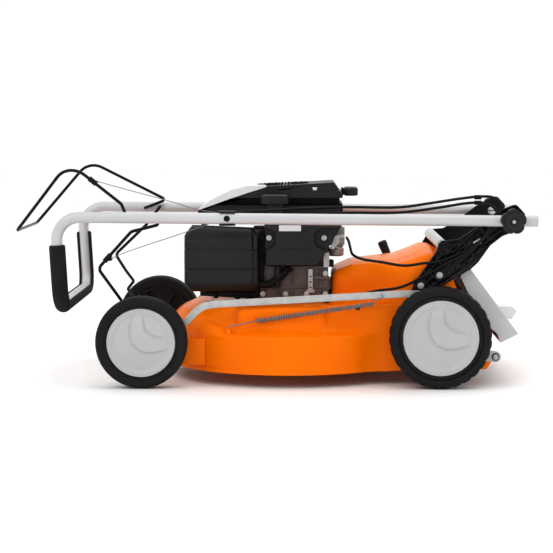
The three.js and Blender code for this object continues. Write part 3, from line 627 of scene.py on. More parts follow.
def hubcap_shape(x, z, r, sign):
    """A dished disc with a bright edge ring and a raised curved strap."""
    angles = 192
    radii = np.concatenate([np.linspace(0, 0.78, 40), np.linspace(0.79, 0.92, 14), np.linspace(0.93, 1, 12)])
    strap = rounded(STRAP, 0.05, 4)
    a, rho = np.meshgrid(np.linspace(0, 2 * np.pi, angles, endpoint=False), radii)
    u, v = rho * np.cos(a), rho * np.sin(a)
    disc = 16.6 + 1.1 * (1 - (np.minimum(rho, 0.8) / 0.8) ** 2)
    band = 16.6 + 3.6 * smooth((rho - 0.77) / 0.13)
    lip = 1.2 * smooth((rho - 0.935) / 0.015) - 2.6 * smooth((rho - 0.98) / 0.02)
    base = np.where(rho < 0.77, disc, band)
    inside = inside_distance(np.column_stack([u.ravel(), v.ravel()]), strap).reshape(u.shape)
    groove = 1.3 * np.exp(-(((inside + 0.02) / 0.018) ** 2)) * (1 - smooth((rho - 0.6) / 0.12))
    raised = (3.0 * smooth(inside / 0.03) - groove) * (1 - smooth((rho - 0.66) / 0.2))
    face = base + lip + raised
    corners = [
        (x + r * p, sign * (WHEEL_MID_Y + h), z + r * q)
        for p, q, h in zip(u.ravel(), v.ravel(), face.ravel())
    ]
    faces = []
    rows = len(radii)
    for i in range(rows - 1):
        for k in range(angles):
            n = (k + 1) % angles
            faces.append((i * angles + k, i * angles + n, (i + 1) * angles + n, (i + 1) * angles + k))
    base = len(corners)
    back = sign * (WHEEL_MID_Y + 12)
    corners += [(x + a, back, z + b) for a, b in ring(r, angles)]
    corners.append((x, back, z))
    for k in range(angles):
        n = (k + 1) % angles
        faces.append(((rows - 1) * angles + k, (rows - 1) * angles + n, base + n, base + k))
        faces.append((base + k, base + n, base + angles))
    return corners, faces


def barrel_shape(x, z, r, sign):
    """The wheel behind the hubcap: rim, web with six ribs and the bore's tube, open to the inner side."""
    seat = r * 0.75 - 0.6
    profile = [(8.6, 11), (seat - 5, 11), (seat - 5, 11.8), (seat, 11.8), (seat, -18.5), (seat - 1.5, -19.5),
               (seat - 3, -19.5), (seat - 4.5, -17), (seat - 5.5, 6), (20, 8), (15, 6), (14, -20), (8.6, -20)]
    shape = lathe([(a, sign * b) for a, b in profile], (x, sign * WHEEL_MID_Y, z), "Y", 96)
    ribs = []
    for i in range(6):
        rib = block(
            (13.5 + x, sign * (WHEEL_MID_Y - 12), z - 1.4),
            (seat - 4.5 + x, sign * (WHEEL_MID_Y + 8), z + 1.4)
        )
        ribs.append(turned(rib, (x, 0, z), math.pi * i / 3))
    return merged(shape, *ribs)


for kind, (wx, radius) in WHEELS.items():
    for side, sign in SIDES:
        body = f"{kind}_{side}"
        piece(
            f"{body}_tyre_detail", tyre_shape(kind, wx, radius, sign), "tyre", body, f"tyre_{body}", sharp=50
        )
        cap = 67.4 if kind == "front" else 74.2
        piece(
            f"{body}_hubcap", hubcap_shape(wx, radius, cap, sign), "wheel_plastic", body, f"wheel_{body}",
            sharp=60
        )
        piece(f"{body}_barrel", barrel_shape(wx, radius, radius, sign), "engine_plastic", body, sharp=30)


# ---------- deck ----------
DECK_X = 29
DECK_WALL = 2.8
MOUTH_LOW, MOUTH_SIDE = 88, 166
DECK_TOP = [(181, 155, 8), (162, 155, 2), (158, 151.5, 2), (60, 151.5, 2), (56, 155, 2), (0, 155, 0)]
DRUM = [
    (0, 4, 0), (243, 4, 0), (243, 99.5, 5), (236, 101.5, 6), (217, 107, 5), (207.5, 112.5, 10), (193, 147, 7)
]
FRONT = [(0, 4, 0), (243, 4, 0), (243, 106, 8), (239, 121, 10), (222, 139, 14), (196, 150, 12)]
DRUM, FRONT = rounded(DRUM + DECK_TOP, 3, 6), rounded(FRONT + DECK_TOP, 3, 6)
TUNNEL = rounded([
    (60, 4, 0), (428, 4, 0), (430, 60), (425, 85, 10), (380, 180), (367, 213), (356, 243, 14), (340, 254, 16),
    (318, 266, 12), (303, 267, 10), (280, 257), (249, 245), (156, 234, 30), (118, 218, 20), (113, 150, 0),
    (60, 150, 0),
], 8, 6)
DRUM_FIELD, FRONT_FIELD, TUNNEL_FIELD = Field(DRUM), Field(FRONT), Field(TUNNEL)


def soft_min(a, b, k):
    h = np.clip(k - np.abs(a - b), 0, k) / k
    return np.minimum(a, b) - h * h * k / 4


def soft_max(a, b, k):
    return -soft_min(-a, -b, k)


def deck_distance(p):
    """Signed distance to the outside of the drum, the platform, the rear body and the crowned tunnel."""
    x, y, z = p[:, 0], np.abs(p[:, 1]), p[:, 2]
    radius = np.hypot(x - DECK_X, y)
    raised = smooth((-60 - x) / 110)
    drum = DRUM_FIELD(radius, z) * (1 - raised) + FRONT_FIELD(radius, z) * raised
    crown = z + 11 * (y / 174) ** 2
    side = TUNNEL_FIELD(x, crown)
    half = 105 + 13 * smooth((x - 110) / 90) + 56 * smooth((x - 178) / 100)
    tunnel = soft_max(side, y - half, 32)
    low = soft_max(soft_max(TUNNEL_FIELD(x, z), y - 178, 10), z - (160 - 22 * smooth((190 - x) / 90)), 14)
    low = soft_max(low, 110 - x, 30)
    platform = soft_max(soft_max(np.abs(x - 16) - 88, y - 196, 16), z - 155, 12)
    shell = soft_min(drum, platform, 8)
    shell = soft_min(shell, low, 16)
    shell = soft_min(shell, tunnel, 18)
    flute = np.abs(y - half * 0.62) - 5
    stretch = smooth((x - 150) / 20) * smooth((300 - x) / 20) * smooth((z - 180) / 20)
    return shell + smooth(-flute / 4) * stretch


def gradient(p, step=0.4):
    made = np.stack([deck_distance(p + e) - deck_distance(p - e) for e in np.eye(3) * step], 1)
    return made / np.maximum(np.linalg.norm(made, axis=1, keepdims=True), 1e-9)


def rough_deck():
    """A closed mesh near the deck's outside, evenly meshed, for the exact surface to be found from."""
    drum = lathe(
        [(0.01, 5), (242, 5), (242, 98), (215, 108), (193, 147), (181, 154), (0.01, 154)], (DECK_X, 0, 0),
        "Z", 96
    )
    steps = []
    for x in range(188, 274, 12):
        half = 117 + 55 * float(smooth(np.float64((x - 182) / 100)))
        top = 228 + (x - 156) * 0.13
        outline = [(x, 5), (427, 5), (425, 84), (340, 250), (300, 262), (276, 250), (x, top)]
        steps.append(plate(outline, -half, half))
    whole = merged(drum, plate(TUNNEL, -104, 104), *steps,
                   plate([(120, 5), (427, 5), (425, 84), (392, 158), (120, 158)], -177, 177))
    mesh = bpy.data.meshes.new("rough")
    mesh.from_pydata([tuple(c * MM for c in p) for p in whole[0]], [], whole[1])
    obj = bpy.data.objects.new("rough", mesh)
    scene.collection.objects.link(obj)
    made = obj.modifiers.new("even", "REMESH")
    made.mode, made.voxel_size = "VOXEL", 3.6 * MM
    made.adaptivity = 0
    graph = bpy.context.evaluated_depsgraph_get()
    even = bpy.data.meshes.new_from_object(obj.evaluated_get(graph))
    bpy.data.objects.remove(obj)
    return even


def cut_faces(bm, planes, inside):
    """Edges are laid along the planes, then the faces whose middle is inside go."""
    for place, normal in planes:
        bmesh.ops.bisect_plane(
            bm, geom=bm.verts[:] + bm.edges[:] + bm.faces[:], plane_co=place, plane_no=normal, dist=0.02
        )
    gone = [f for f in bm.faces if inside(f.calc_center_median())]
    bmesh.ops.delete(bm, geom=gone, context="FACES")


def in_mouth(c):
    """The discharge mouth, with a sloping front edge."""
    behind = (c.x - 352) * 0.9 + (c.z - 236) * 0.42 > 0 and c.x > 352 - (c.z - 236) * 0.4
    return c.z > MOUTH_LOW and abs(c.y) < MOUTH_SIDE and (behind or c.x > 353)


def in_axle_slot(c):
    """The opening in each side wall that the rear axle swings in."""
    return 308 < c.x < 341 and 38 < c.z < 113 and abs(c.y) > 170


def below_edge(c):
    """Below the bottom edge, which is level in front and slopes up behind."""
    return c.z < min(31, 26 + 0.07 * (c.x - 225)) or (c.x - 423) * 0.8 - (c.z - 32) * 0.6 > 0


def deck_shape():
    """The outer surface, moved onto the exact shape and cut open, with a second skin inside it."""
    even = rough_deck()
    points = np.empty(len(even.vertices) * 3)
    even.vertices.foreach_get("co", points)
    points = points.reshape(-1, 3) / MM
    for _ in range(7):
        normal = gradient(points)
        points = points - normal * np.clip(deck_distance(points), -4, 4)[:, None]
    for vertex, p in zip(even.vertices, points):
        vertex.co = p
    bm = bmesh.new()
    bm.from_mesh(even)
    everything = bm.verts[:] + bm.edges[:] + bm.faces[:]
    bmesh.ops.bisect_plane(bm, geom=everything, plane_co=(0, 0, 26), plane_no=(0, 0, -1), clear_outer=True)
    mouth = [
        ((0, 0, MOUTH_LOW), (0, 0, 1)), ((0, MOUTH_SIDE, 0), (0, 1, 0)), ((0, -MOUTH_SIDE, 0), (0, 1, 0)),
        ((352, 0, 236), (0.9, 0, 0.42)),
    ]
    slots = [
        ((308, 0, 0), (1, 0, 0)), ((341, 0, 0), (1, 0, 0)), ((0, 0, 38), (0, 0, 1)), ((0, 0, 113), (0, 0, 1))
    ]
    edge_planes = [((0, 0, 31), (0, 0, 1)), ((225, 0, 26), (-0.07, 0, 1)), ((423, 0, 32), (0.8, 0, -0.6))]
    cut_faces(bm, mouth, in_mouth)
    cut_faces(bm, slots, in_axle_slot)
    cut_faces(bm, edge_planes, below_edge)
    bm.verts.index_update()
    outer = np.array([tuple(v.co) for v in bm.verts])
    faces = [tuple(v.index for v in f.verts) for f in bm.faces]
    open_loops = [e.link_loops[0] for e in bm.edges if len(e.link_loops) == 1]
    edge = [(loop.vert.index, loop.link_loop_next.vert.index) for loop in open_loops]
    bm.free()
    normals = gradient(outer)
    inner = outer - normals * DECK_WALL
    count = len(outer)
    corners = np.vstack([outer, inner])
    skin = [tuple(i + count for i in reversed(f)) for f in faces]
    whole = faces + skin + [(b, a, a + count, b + count) for a, b in edge]
    facing_out = normals[[i for f in faces for i in f]]
    facing_in = -normals[[i for f in faces for i in reversed(f)]]
    loops = np.concatenate([facing_out, facing_in, np.zeros((4 * len(edge), 3))])
    return corners, whole, loops


def add_deck():
    corners, faces, normals = deck_shape()
    mesh = bpy.data.meshes.new("deck_shell")
    mesh.from_pydata([tuple(p * MM) for p in corners], [], faces)
    mesh.materials.append(FINISHES["deck_paint"].material)
    mesh.shade_smooth()
    mesh.update()
    rim = np.linalg.norm(normals, axis=1) < 0.5
    flat = np.empty(len(mesh.polygons) * 3)
    mesh.polygons.foreach_get("normal", flat)
    owner = np.repeat(np.arange(len(mesh.polygons)), [len(f) for f in faces])
    normals[rim] = flat.reshape(-1, 3)[owner[rim]]
    mesh.normals_split_custom_set([tuple(n) for n in normals])
    obj = bpy.data.objects.new("deck_shell", mesh)
    scene.collection.objects.link(obj)
    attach(obj, "chassis")
    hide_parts("deck")


add_deck()


# ---------- handle, grip and bails ----------
TUBE_Y, TUBE_RADIUS = 213, 11
BAIL_RADIUS = 3.1
TUBE_CENTRE = (-TUBE_Y, 330.6)
HANDLE_LINE = [(516, -TUBE_Y, 326), (-425, -TUBE_Y, 333, 45), (-415, -TUBE_Y, 158, 38)]
FOLD_AXIS = (466, 326.4)
STOP_BAIL = [
    (-286, -208, 330.4), (-286, -195, 330.4, 5), (-297, -195, 358, 12), (-400.2, -195, 439.4, 41),
    (-512.4, -133, 302, 14), (-512.4, 133, 302, 14), (-406.5, 195, 432.5, 38), (-239.5, 195, 348.6, 4.2),
    (-286, 195, 330.4, 5), (-286, 208, 330.4),
]
DRIVE_BAIL = [
    (-253, -208, 333), (-253, -184, 333, 5), (-217.5, -184, 318.6, 4.2), (-279, -184, 303, 12),
    (-345, -184, 230, 12), (-302, -165, 165.5, 20), (-263, -135, 105, 12), (-263, 135, 105, 12),
    (-304, 140, 139, 8), (-321, 158, 157, 5), (-309, 172, 173, 5), (-326, 179, 194, 8),
    (-349.6, 184, 230, 10), (-282, 184, 295, 14), (-253, 184, 333, 5), (-253, 208, 333),
]


def grip_section(outer=15.9, inner=11.3, opening=math.radians(66), steps=26):
    """A C that is open towards the inside of the handle's loop, with rounded lips."""
    reach = math.pi - opening
    turns = [reach * (2 * i / (steps - 1) - 1) for i in range(steps)]
    middle, half = (outer + inner) / 2, (outer - inner) / 2

    def lip(angle, direction):
        made = []
        for k in range(1, 6):
            t = math.pi * k / 6
            r = middle + direction * half * math.cos(t)
            a = angle + direction * half * math.sin(t) / middle
            made.append((r * math.cos(a), r * math.sin(a)))
        return made

    return (
        [(outer * math.cos(a), outer * math.sin(a)) for a in turns] + lip(reach, 1)
        + [(inner * math.cos(a), inner * math.sin(a)) for a in reversed(turns)] + lip(-reach, -1)
    )


def add_handle():
    piece(
        "handle_tube_detail", rod(bent(mirrored(HANDLE_LINE), 38), TUBE_RADIUS, 28), "tube_finish", "handle",
        "handle_tube", bevel=0.8
    )
    line = bent(mirrored([(-421.8, -TUBE_Y, 278), (-415, -TUBE_Y, 158, 38)]), 38, math.radians(6))
    near = [line[0].lerp(line[1], t) for t in (0, 0.008, 0.022, 0.045, 0.075)]
    far = [p.copy() for p in reversed(near)]
    for p in far:
        p.y = -p.y
    path = near + line[1:-1] + far
    ends = [0.86, 0.92, 0.965, 0.99, 1]
    taper = ends + [1] * (len(path) - 2 * len(ends)) + ends[::-1]
    piece(
        "grip_sleeve", sweep(path, grip_section(), (0, -1, 0), taper), "grip_rubber", "handle", "handle_grip",
        sharp=50
    )
    for name, line, body, clip in (
        ("stop_bail", STOP_BAIL, "bail_stop", ((-353, -194.5, 402.6), (-78, 0, 62), (-345, -190, 402))),
        ("drive_bail", DRIVE_BAIL, "bail_drive", ((-326, -184, 251), (-66, 0, -73), (-317.5, -187, 250.5))),
    ):
        sleeve_at, along, wire_at = (Vector(v) for v in clip)
        along = along.normalized() * 9
        sleeve = rod(
            [sleeve_at - along, sleeve_at - along * 0.8, sleeve_at + along * 0.8, sleeve_at + along], 5.2, 18
        )
        elbow = sleeve_at.lerp(wire_at, 0.5) + Vector((3, -3, -4))
        hook = rod(bent([tuple(sleeve_at + along * 0.4), (*elbow, 3), tuple(wire_at)]), 2.1, 10)
        shape = merged(rod(bent(line, step=math.radians(7)), BAIL_RADIUS, 14), sleeve, hook)
        piece(f"{name}_wire_form", shape, "black_paint", body, name, bevel=0.4, segments=2)

    fit = TUBE_RADIUS + 0.4
    saddle = [
        (-206.5, 317), (-196, 317), (-190, 322), (-190, 340), (-196, 345.3), (-219, 345.3), (-221, 343.5),
        (-219, 342),
    ]
    y, z = TUBE_CENTRE
    saddle += [(y + fit * math.cos(t), z + fit * math.sin(t)) for t in np.linspace(1.95, -1.95, 18)]
    saddle += [(-219, 319.5), (-221, 318), (-219, 316.6), (-206.5, 316.6)]
    body = slab_x(saddle, -104, -73)
    guides = [round_x(-190, z, -110, -71, 4.6) for z in (340.3, 325.4)]
    piece("cable_guide", merged(body, *guides), "engine_plastic", "handle", "cable_bracket", bevel=1.0)
    screw = lathe(
        [(0, 0), (6, 0), (6, -1.2), (4.6, -2.6), (2.4, -2.9), (2.4, -1.6), (0, -1.6)], (-89, -223.6, 331),
        "Y", 28
    )
    piece("guide_screw", screw, "black_paint", "handle", bevel=0.2, segments=2)


def star(x, z, radius, depth, lobes, count=200):
    """A round outline with narrow notches between its lobes, one lobe at the top."""
    made = []
    for i in range(count):
        angle = 2 * math.pi * i / count
        wave = 0.5 + 0.5 * math.cos(lobes * (angle - math.pi / 2))
        r = radius - depth * (1 - wave**0.22)
        made.append((x + r * math.cos(angle), z + r * math.sin(angle)))
    return made


def add_knobs():
    x, z = FOLD_AXIS
    for side, sign in SIDES:
        body = f"{side}_knob"
        base = plate(star(x, z, 24.9, 5.4, 5), sign * 227, sign * 243)
        profile = [(2.6, 0), (17.5, 0), (16.5, 5.2), (14, 6.6), (8.2, 6.6), (7.2, 4.4), (2.6, 4.4)]
        crown = facing(profile, x, sign * 243, z, sign, 48)
        piece(
            f"{body}_star", merged(base, crown), "engine_plastic", body, f"knob_{side}", bevel=1.2, segments=3
        )
        nut = plate([(x + 4 * a, z + 4 * b) for a, b in ring(1, 6)], sign * 246.6, sign * 249.4)
        stud = round_bar(x, z, sign * 226.5, sign * 251.6, 2.2, 20)
        piece(f"{body}_nut", merged(nut, stud), "zinc", body, bevel=0.6, segments=2)
        tube = [(4.3, 0), (13.5, 0), (14, 1), (14, 13.4), (13.2, 14.2), (4.3, 14.2)]
        spacer = facing(tube, x, sign * 187.2, z, sign, 40)
        piece(f"bracket_{side}_spacer", spacer, "black_paint", "chassis", bevel=0.4, segments=2)
        shaft = round_bar(x, z, sign * 187, sign * 226.4, 3.9, 20)
        piece(f"bracket_{side}_pivot_bolt", shaft, "zinc", "chassis")
        head = facing([(0, 0), (9, 0), (9.2, 0.8), (8, 2.8), (5, 3.6), (0, 3.7)], x, sign * 182, z, -sign, 40)
        slot_bar = block((x - 8, sign * 178.1, z - 0.9), (x + 8, sign * 179.6, z + 0.9))
        piece(f"bracket_{side}_pivot_head", head, "zinc", "chassis", bevel=0.3, segments=2)
        piece(f"bracket_{side}_head_slot", slot_bar, "rubber", "chassis")


add_handle()
add_knobs()

# ---------- cables, wires, belt and spring ----------
STOP_CABLE = [
    (-72.6, -190.2, 341), (0, -190.2, 346), (136, -190.2, 352), (250, -190.2, 352), (309, -190.2, 360),
    (368, -190.2, 369), (407, -190.2, 373), (431, -190.2, 371), (446, -190.2, 359), (446, -190.2, 340),
    (438, -190.2, 322), (425, -190.2, 303), (403, -190.2, 282), (380, -190.2, 267), (352, -190.2, 255),
    (325, -190.2, 245), (297, -190.2, 242), (258, -188, 237), (216, -182, 243), (175, -160, 248),
    (158, -135, 255), (154, -112, 266), (151, -92, 278), (147.5, -70, 284),
]
DRIVE_CABLE = [
    (-72.6, -190.2, 326), (0, -191, 332), (136, -195, 341), (250, -195.8, 342), (328, -195.8, 352),
    (378, -195.8, 360), (403, -195.8, 361), (424, -195.8, 357), (437, -195.8, 344), (434, -195.8, 326),
    (420, -195.8, 305), (400, -195.8, 278), (380, -195, 262), (343, -192, 243), (310, -190.4, 223),
    (286, -190.4, 211), (270, -190.4, 202), (245, -190.4, 193), (209, -190.2, 188), (186, -187, 183),
    (171, -174, 177), (168, -168, 168),
]
STOP_WIRE = [
    (-344.6, -190, 402), (-290, -190, 387), (-205, -190, 364), (-147, -190, 347), (-104.4, -190, 340)
]
DRIVE_WIRE = [
    (-316.8, -187, 250.5), (-296, -188, 260), (-170, -190, 303), (-125, -190, 319), (-104.4, -190, 325)
]


def add_cables():
    for name, line in (("stop_cable", STOP_CABLE), ("drive_cable", DRIVE_CABLE)):
        sheath = piece(f"{name}_sheath", rod(spline(line, 9), 2.7, 12), "cable_sheath", None, name)
        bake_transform(sheath)
    for name, line, bail in (("stop_wire", STOP_WIRE, "bail_stop"), ("drive_wire", DRIVE_WIRE, "bail_drive")):
        wire = piece(f"{name}_strand", rod(spline(line, 8), 0.8, 8), "steel", None, name)
        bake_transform(wire)
    clip = merged(round_x(-190.6, 371.6, 394, 408, 4.4), round_x(-195.6, 361, 394, 408, 4.2))
    piece("cable_tie", clip, "black_paint", "handle", bevel=0.4, segments=2)


def add_spring():
    """The coil with both hooks."""
    y = -206
    start, end = Vector((-34, y, 128.6)), Vector((196, y, 163))
    coil = helix(start, end, 4.2, 49)
    front = [(x, y, z) for x, z in ((-87, 110), (-88.5, 114), (-86, 117.5), (-66, 121.6), (-38, 127.4))]
    rear = [
        (x, y, z)
        for x, z in ((198, 165), (203, 169.5), (207.5, 173.5), (212, 174.2), (215.6, 178), (212, 182))
    ]
    path = spline(front, 4)[:-1] + coil + spline(rear, 4)[1:]
    spring = piece("assist_spring_coil", rod(path, 1.2, 9), "steel", None, "assist_spring", sharp=60)
    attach(spring, "chassis")
    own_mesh(spring)
    tab = plate(rounded([(-93, 92), (-81, 92), (-83, 113), (-91, 113)], 3), -208.5, -190)
    piece("spring_tab", tab, "deck_paint", "chassis", bevel=1.2)
    pin = lathe([(0, -7), (4, -7), (4.6, -6), (4.6, -1), (3, 0), (0, 0)], (167, -190, 154), "Y", 24)
    piece("deck_pin", pin, "rubber", "chassis", bevel=0.5, segments=2)


def add_belt():
    """A belt of V section round both pulleys."""
    x0, r0, x1, r1 = DECK_X, 20.8, 280, 28.8
    lean = math.acos((r0 - r1) / (x1 - x0))
    loop = [(x1 + r1 * math.cos(a), r1 * math.sin(a)) for a in np.linspace(-lean, lean, 30)]
    loop += [(x0 + r0 * math.cos(a), r0 * math.sin(a)) for a in np.linspace(lean, 2 * math.pi - lean, 30)]
    dense = []
    for a, b in zip(loop, [*loop[1:], loop[0]]):
        steps = max(1, round(math.dist(a, b) / 6))
        dense += [(a[0] + (b[0] - a[0]) * k / steps, a[1] + (b[1] - a[1]) * k / steps) for k in range(steps)]
    corners, faces = [], []
    section = [(2.2, -2.0), (2.2, 2.0), (1.2, 2.2), (-1.8, 1.2), (-1.8, -1.2), (1.2, -2.2)]
    for i, p in enumerate(dense):
        before, after = dense[i - 1], dense[(i + 1) % len(dense)]
        along = Vector((after[0] - before[0], after[1] - before[1])).normalized()
        corners += [(p[0] + along.y * a, p[1] - along.x * a, 132 + b) for a, b in section]
    n, m = len(dense), len(section)
    for i in range(n):
        for k in range(m):
            j, q = (i + 1) % n, (k + 1) % m
            faces.append((i * m + k, i * m + q, j * m + q, j * m + k))
    belt = piece("drive_belt_loop", (corners, faces), "rubber", None, "drive_belt")
    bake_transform(belt)


add_cables()
add_spring()
add_belt()

# ---------- wheel carriers, link bars and lever ----------
FRONT_PIN, REAR_PIN = (-183.8, 113.5), (399.8, 123.5)
BAR_LINE = [FRONT_PIN, (-150, 148), (-136, 157), (-112, 161), (258, 182), (330, 181), REAR_PIN]


def add_carriers():
    for side, sign in SIDES:
        outline = rounded(strip(BAR_LINE, 14.2), 14, 6)
        flat = plate(outline, sign * 195, sign * 198)
        eyes = [round_bar(x, z, sign * 194.9, sign * 198.15, 10, 36) for x, z in (FRONT_PIN, REAR_PIN)]
        lip = plate(rounded(strip([(-104, 156.1), (250, 176.1)], 2.2), 1), sign * 196, sign * 199.4)
        piece(
            f"link_bar_{side}_strip", merged(flat, *eyes, lip), "zinc", f"bar_{side}", f"link_bar_{side}",
            bevel=0.5, segments=2
        )
        for place, (x, z), body in (("front", FRONT_PIN, f"crank_{side}"), ("rear", REAR_PIN, "axle")):
            rivet = facing([(0, 0), (8.2, 0), (8.2, 1.2), (5.4, 2.4), (0, 2.8)], x, sign * 198.3, z, sign, 30)
            piece(f"{place}_{side}_link_rivet", rivet, "steel", body)
        carried(f"front_crank_{side}", "zinc", 0.6)
        inner = 243.2
        turns = [math.radians(a) for a in np.linspace(118, 143, 14)]
        outer = [inner + 0.5 + 2.9 * float(smooth(np.float64((math.degrees(a) - 119) / 16))) for a in turns]
        flange = [(DECK_X + r * math.cos(a), sign * r * math.sin(a)) for r, a in zip(outer, turns)]
        flange += [(DECK_X + inner * math.cos(a), sign * inner * math.sin(a)) for a in reversed(turns)]
        arm = rounded(
            [(-216, sign * 183.6), (-137, sign * 183.6), (-133, sign * 187.4), (-216, sign * 187.4)], 1
        )
        shape = merged(slab(flange, 38, 91.5), slab(arm, 40, 91))
        piece(
            f"front_bracket_{side}_flange", shape, "deck_paint", "chassis", f"front_bracket_{side}", bevel=1.1
        )
        for z in (50, 86):
            a = math.radians(139)
            at = (DECK_X + 246.6 * math.cos(a), sign * 246.6 * math.sin(a))
            head = rod(
                [(at[0], at[1], z), (DECK_X + 249.4 * math.cos(a), sign * 249.4 * math.sin(a), z)], 5.2, 6
            )
            piece(f"front_bracket_{side}_bolt_{z}", head, "deck_paint", "chassis", bevel=0.5, segments=2)
        pivot = facing([(0, 0), (9, 0), (9, 1.4), (6, 2.6), (0, 2.8)], -201.6, sign * 193.6, 64.6, sign, 30)
        piece(f"front_{side}_pivot_head", pivot, "steel", f"crank_{side}")
        carried(f"rear_plate_{side}", "flap_plastic", 0.8)
        collar = facing(
            [(4.8, 0), (7.4, 0), (7.4, 1.4), (6.6, 2.0), (4.8, 2.0)], 439.5, sign * 183, 56, sign, 36
        )
        piece(f"rear_plate_{side}_ring", collar, "rubber", "chassis", bevel=0.3, segments=2)
        bolt = plate([(439.5 + 4.4 * a, 56 + 4.4 * b) for a, b in ring(1, 6, 0.3)], sign * 184, sign * 187.6)
        piece(f"rear_plate_{side}_nut", bolt, "zinc", "chassis", bevel=0.5, segments=2)
    carried("rear_axle", "zinc", 0.6)
    carried("height_lever", "zinc", 0.6)
    top, low = Vector((229, 210, 258)), Vector((248, 210, 213))
    along = (top - low).normalized()
    stations = [
        (0, 0.62), (0.02, 0.8), (0.08, 0.92), (0.2, 0.9), (0.55, 0.94), (0.82, 1.02), (0.94, 1.0),
        (0.985, 0.86), (1, 0.6)
    ]
    path = [low.lerp(top, t) for t, _ in stations]
    grip = sweep(path, [(a, b * 0.98) for a, b in ring(10, 28)], (0, 1, 0), [s for _, s in stations])
    piece("height_lever_knob", grip, "engine_plastic", "lever", "height_lever_grip", sharp=60)


add_carriers()

# ---------- handle brackets, cross tube and flap ----------
BRACKET = [
    (272, 184), (277, 201), (304, 240), (322, 267), (326, 281), (333, 286), (361, 288), (374, 295),
    (400, 312), (430, 335), (455, 350), (476, 358), (495, 338), (490, 320), (463, 300), (450, 295),
    (427, 277), (419, 266), (403, 243), (389, 230), (364, 216), (328, 193), (300, 186),
]
BRACKET_BOLTS = ((327.8, 217.8), (291, 197))
BRACKET_RIBS = [
    [(290, 203), (318, 238), (334, 262)], [(283, 192), (318, 215), (352, 246), (400, 290), (446, 326)],
    [(318, 198), (360, 228), (395, 258), (425, 292), (470, 322)], [(352, 262), (392, 300), (440, 335)],
    [(300, 222), (330, 212), (352, 224)], [(372, 286), (395, 256)], [(410, 308), (425, 288)],
]


def bracket_depth(x, z, edge):
    """Depth below the outer face of a bracket: a rim and ribs round sunken fields."""
    raised = 1 - smooth((edge - 3.2) / 2.6)
    for path in BRACKET_RIBS:
        raised = np.maximum(raised, 1 - smooth((line_distance(x, z, path) - 1.8) / 2.2))
    from_boss = np.abs(np.hypot(x - 338, z - 270) - 10.5)
    raised = np.maximum(raised, 1 - smooth((from_boss - 2) / 1.8))
    for bx, bz in (*BRACKET_BOLTS, FOLD_AXIS):
        raised = np.maximum(raised, 1 - smooth((np.hypot(x - bx, z - bz) - 12.5) / 2))
    return 3.1 * (1 - raised) + edge_round(edge, 1.2)


def add_brackets():
    outline = rounded(BRACKET, 9, 6)
    for side, sign in SIDES:
        front = relief(outline, sign * 187.2, sign * 182.2, bracket_depth, 2.2)
        pad = plate(
            rounded([(296, 206), (316, 236), (352, 236), (352, 213), (326, 197)], 4), sign * 174.6,
            sign * 182.6
        )
        piece(
            f"bracket_{side}_plate", merged(front, pad), "black_paint", "chassis", f"bracket_{side}", sharp=46
        )
        for number, (x, z) in enumerate(BRACKET_BOLTS):
            hex_bolt(
                f"bracket_{side}_bolt_{number}", x, z, sign * 187, sign, 4.6, "zinc", "chassis", 2.6, 1.2
            )
        clip = merged(
            plate([(393, 280), (407, 288), (407, 292), (393, 284)], sign * 186, sign * 189.4),
            plate([(399, 275), (409, 281), (409, 284), (399, 278)], sign * 186, sign * 189.4),
        )
        piece(f"bracket_{side}_clips", clip, "zinc", "chassis", bevel=0.4, segments=2)
    tube = rod([(332, -181.6, 277), (332, 181.6, 277)], TUBE_RADIUS, 30)
    piece("cross_tube_bar", tube, "tube_finish", "chassis", "cross_tube", bevel=0.6)


def add_flap():
    wing = [(374, 238), (381, 238), (390, 229), (486, 100, 3), (449, 81.6, 3), (444, 100, 8), (431, 111, 6)]
    wing = rounded([*wing, (384, 184), (370, 213)], 5)
    panel = rounded([(379, 238), (390, 229), (486, 100), (482.7, 98.2), (387, 226), (377, 234)], 1.5)
    lip = strip([(484, 100.5), (449.8, 83.2)], 3)
    parts = [plate(wing, sign * 168, sign * 171) for _, sign in SIDES]
    parts += [plate(panel, -169, 169), plate(lip, -169, 169), round_bar(378, 234, -181.8, 181.8, 5, 26)]
    face = Vector((96, -129)).normalized()
    for y in (-140, -100, -60, 60, 100, 140):
        rib = strip([(392 + 5 * face.x, 225 + 5 * face.y), (482, 104)], 5)
        parts.append(plate([(x - 1.2, z) for x, z in rib], y - 2, y + 2))
    spine = strip([(396, 218), (470, 118)], 4.6)
    parts += [plate(spine, -44, -40), plate(spine, 40, 44)]
    piece("flap_panel", merged(*parts), "flap_plastic", "rear_flap", "flap", bevel=0.9)
    tab = plate(rounded([(456, 140), (488, 139.5), (499, 130.4), (486.4, 112.4), (470, 118)], 4), -29.5, 29.5)
    ridge = rounded([(478, 130), (498.5, 130.8), (493, 123), (482, 121)], 1.5)
    ridges = [plate(ridge, y - 1.5, y + 1.5) for y in (-20, -7, 7, 20)]
    piece("flap_tab", merged(tab, *ridges), "trim", "rear_flap", bevel=1.2)


add_brackets()
add_flap()

# ---------- engine ----------
COVER = [(-179, 196), (-168, 178), (-40, 178), (-30, 190), (-30, 284), (-42, 305), (-165, 310), (-179, 292)]
TANK = [(-17, 231), (84, 231), (96, 242), (107, 263), (136, 311), (136, 313), (-17, 313)]
COVER_STEPS = [
    (176, 9), (182, 6.4), (188, 3.6), (193, 1.2), (197, 0.4), (221, 0), (223, 2.8), (225.5, 0), (260, 0.3),
    (263.5, 4.8), (266, 3.4), (279.5, 3.4), (282.5, 6.6), (286, 5.6), (297, 8.2), (304, 11), (312, 13),
]


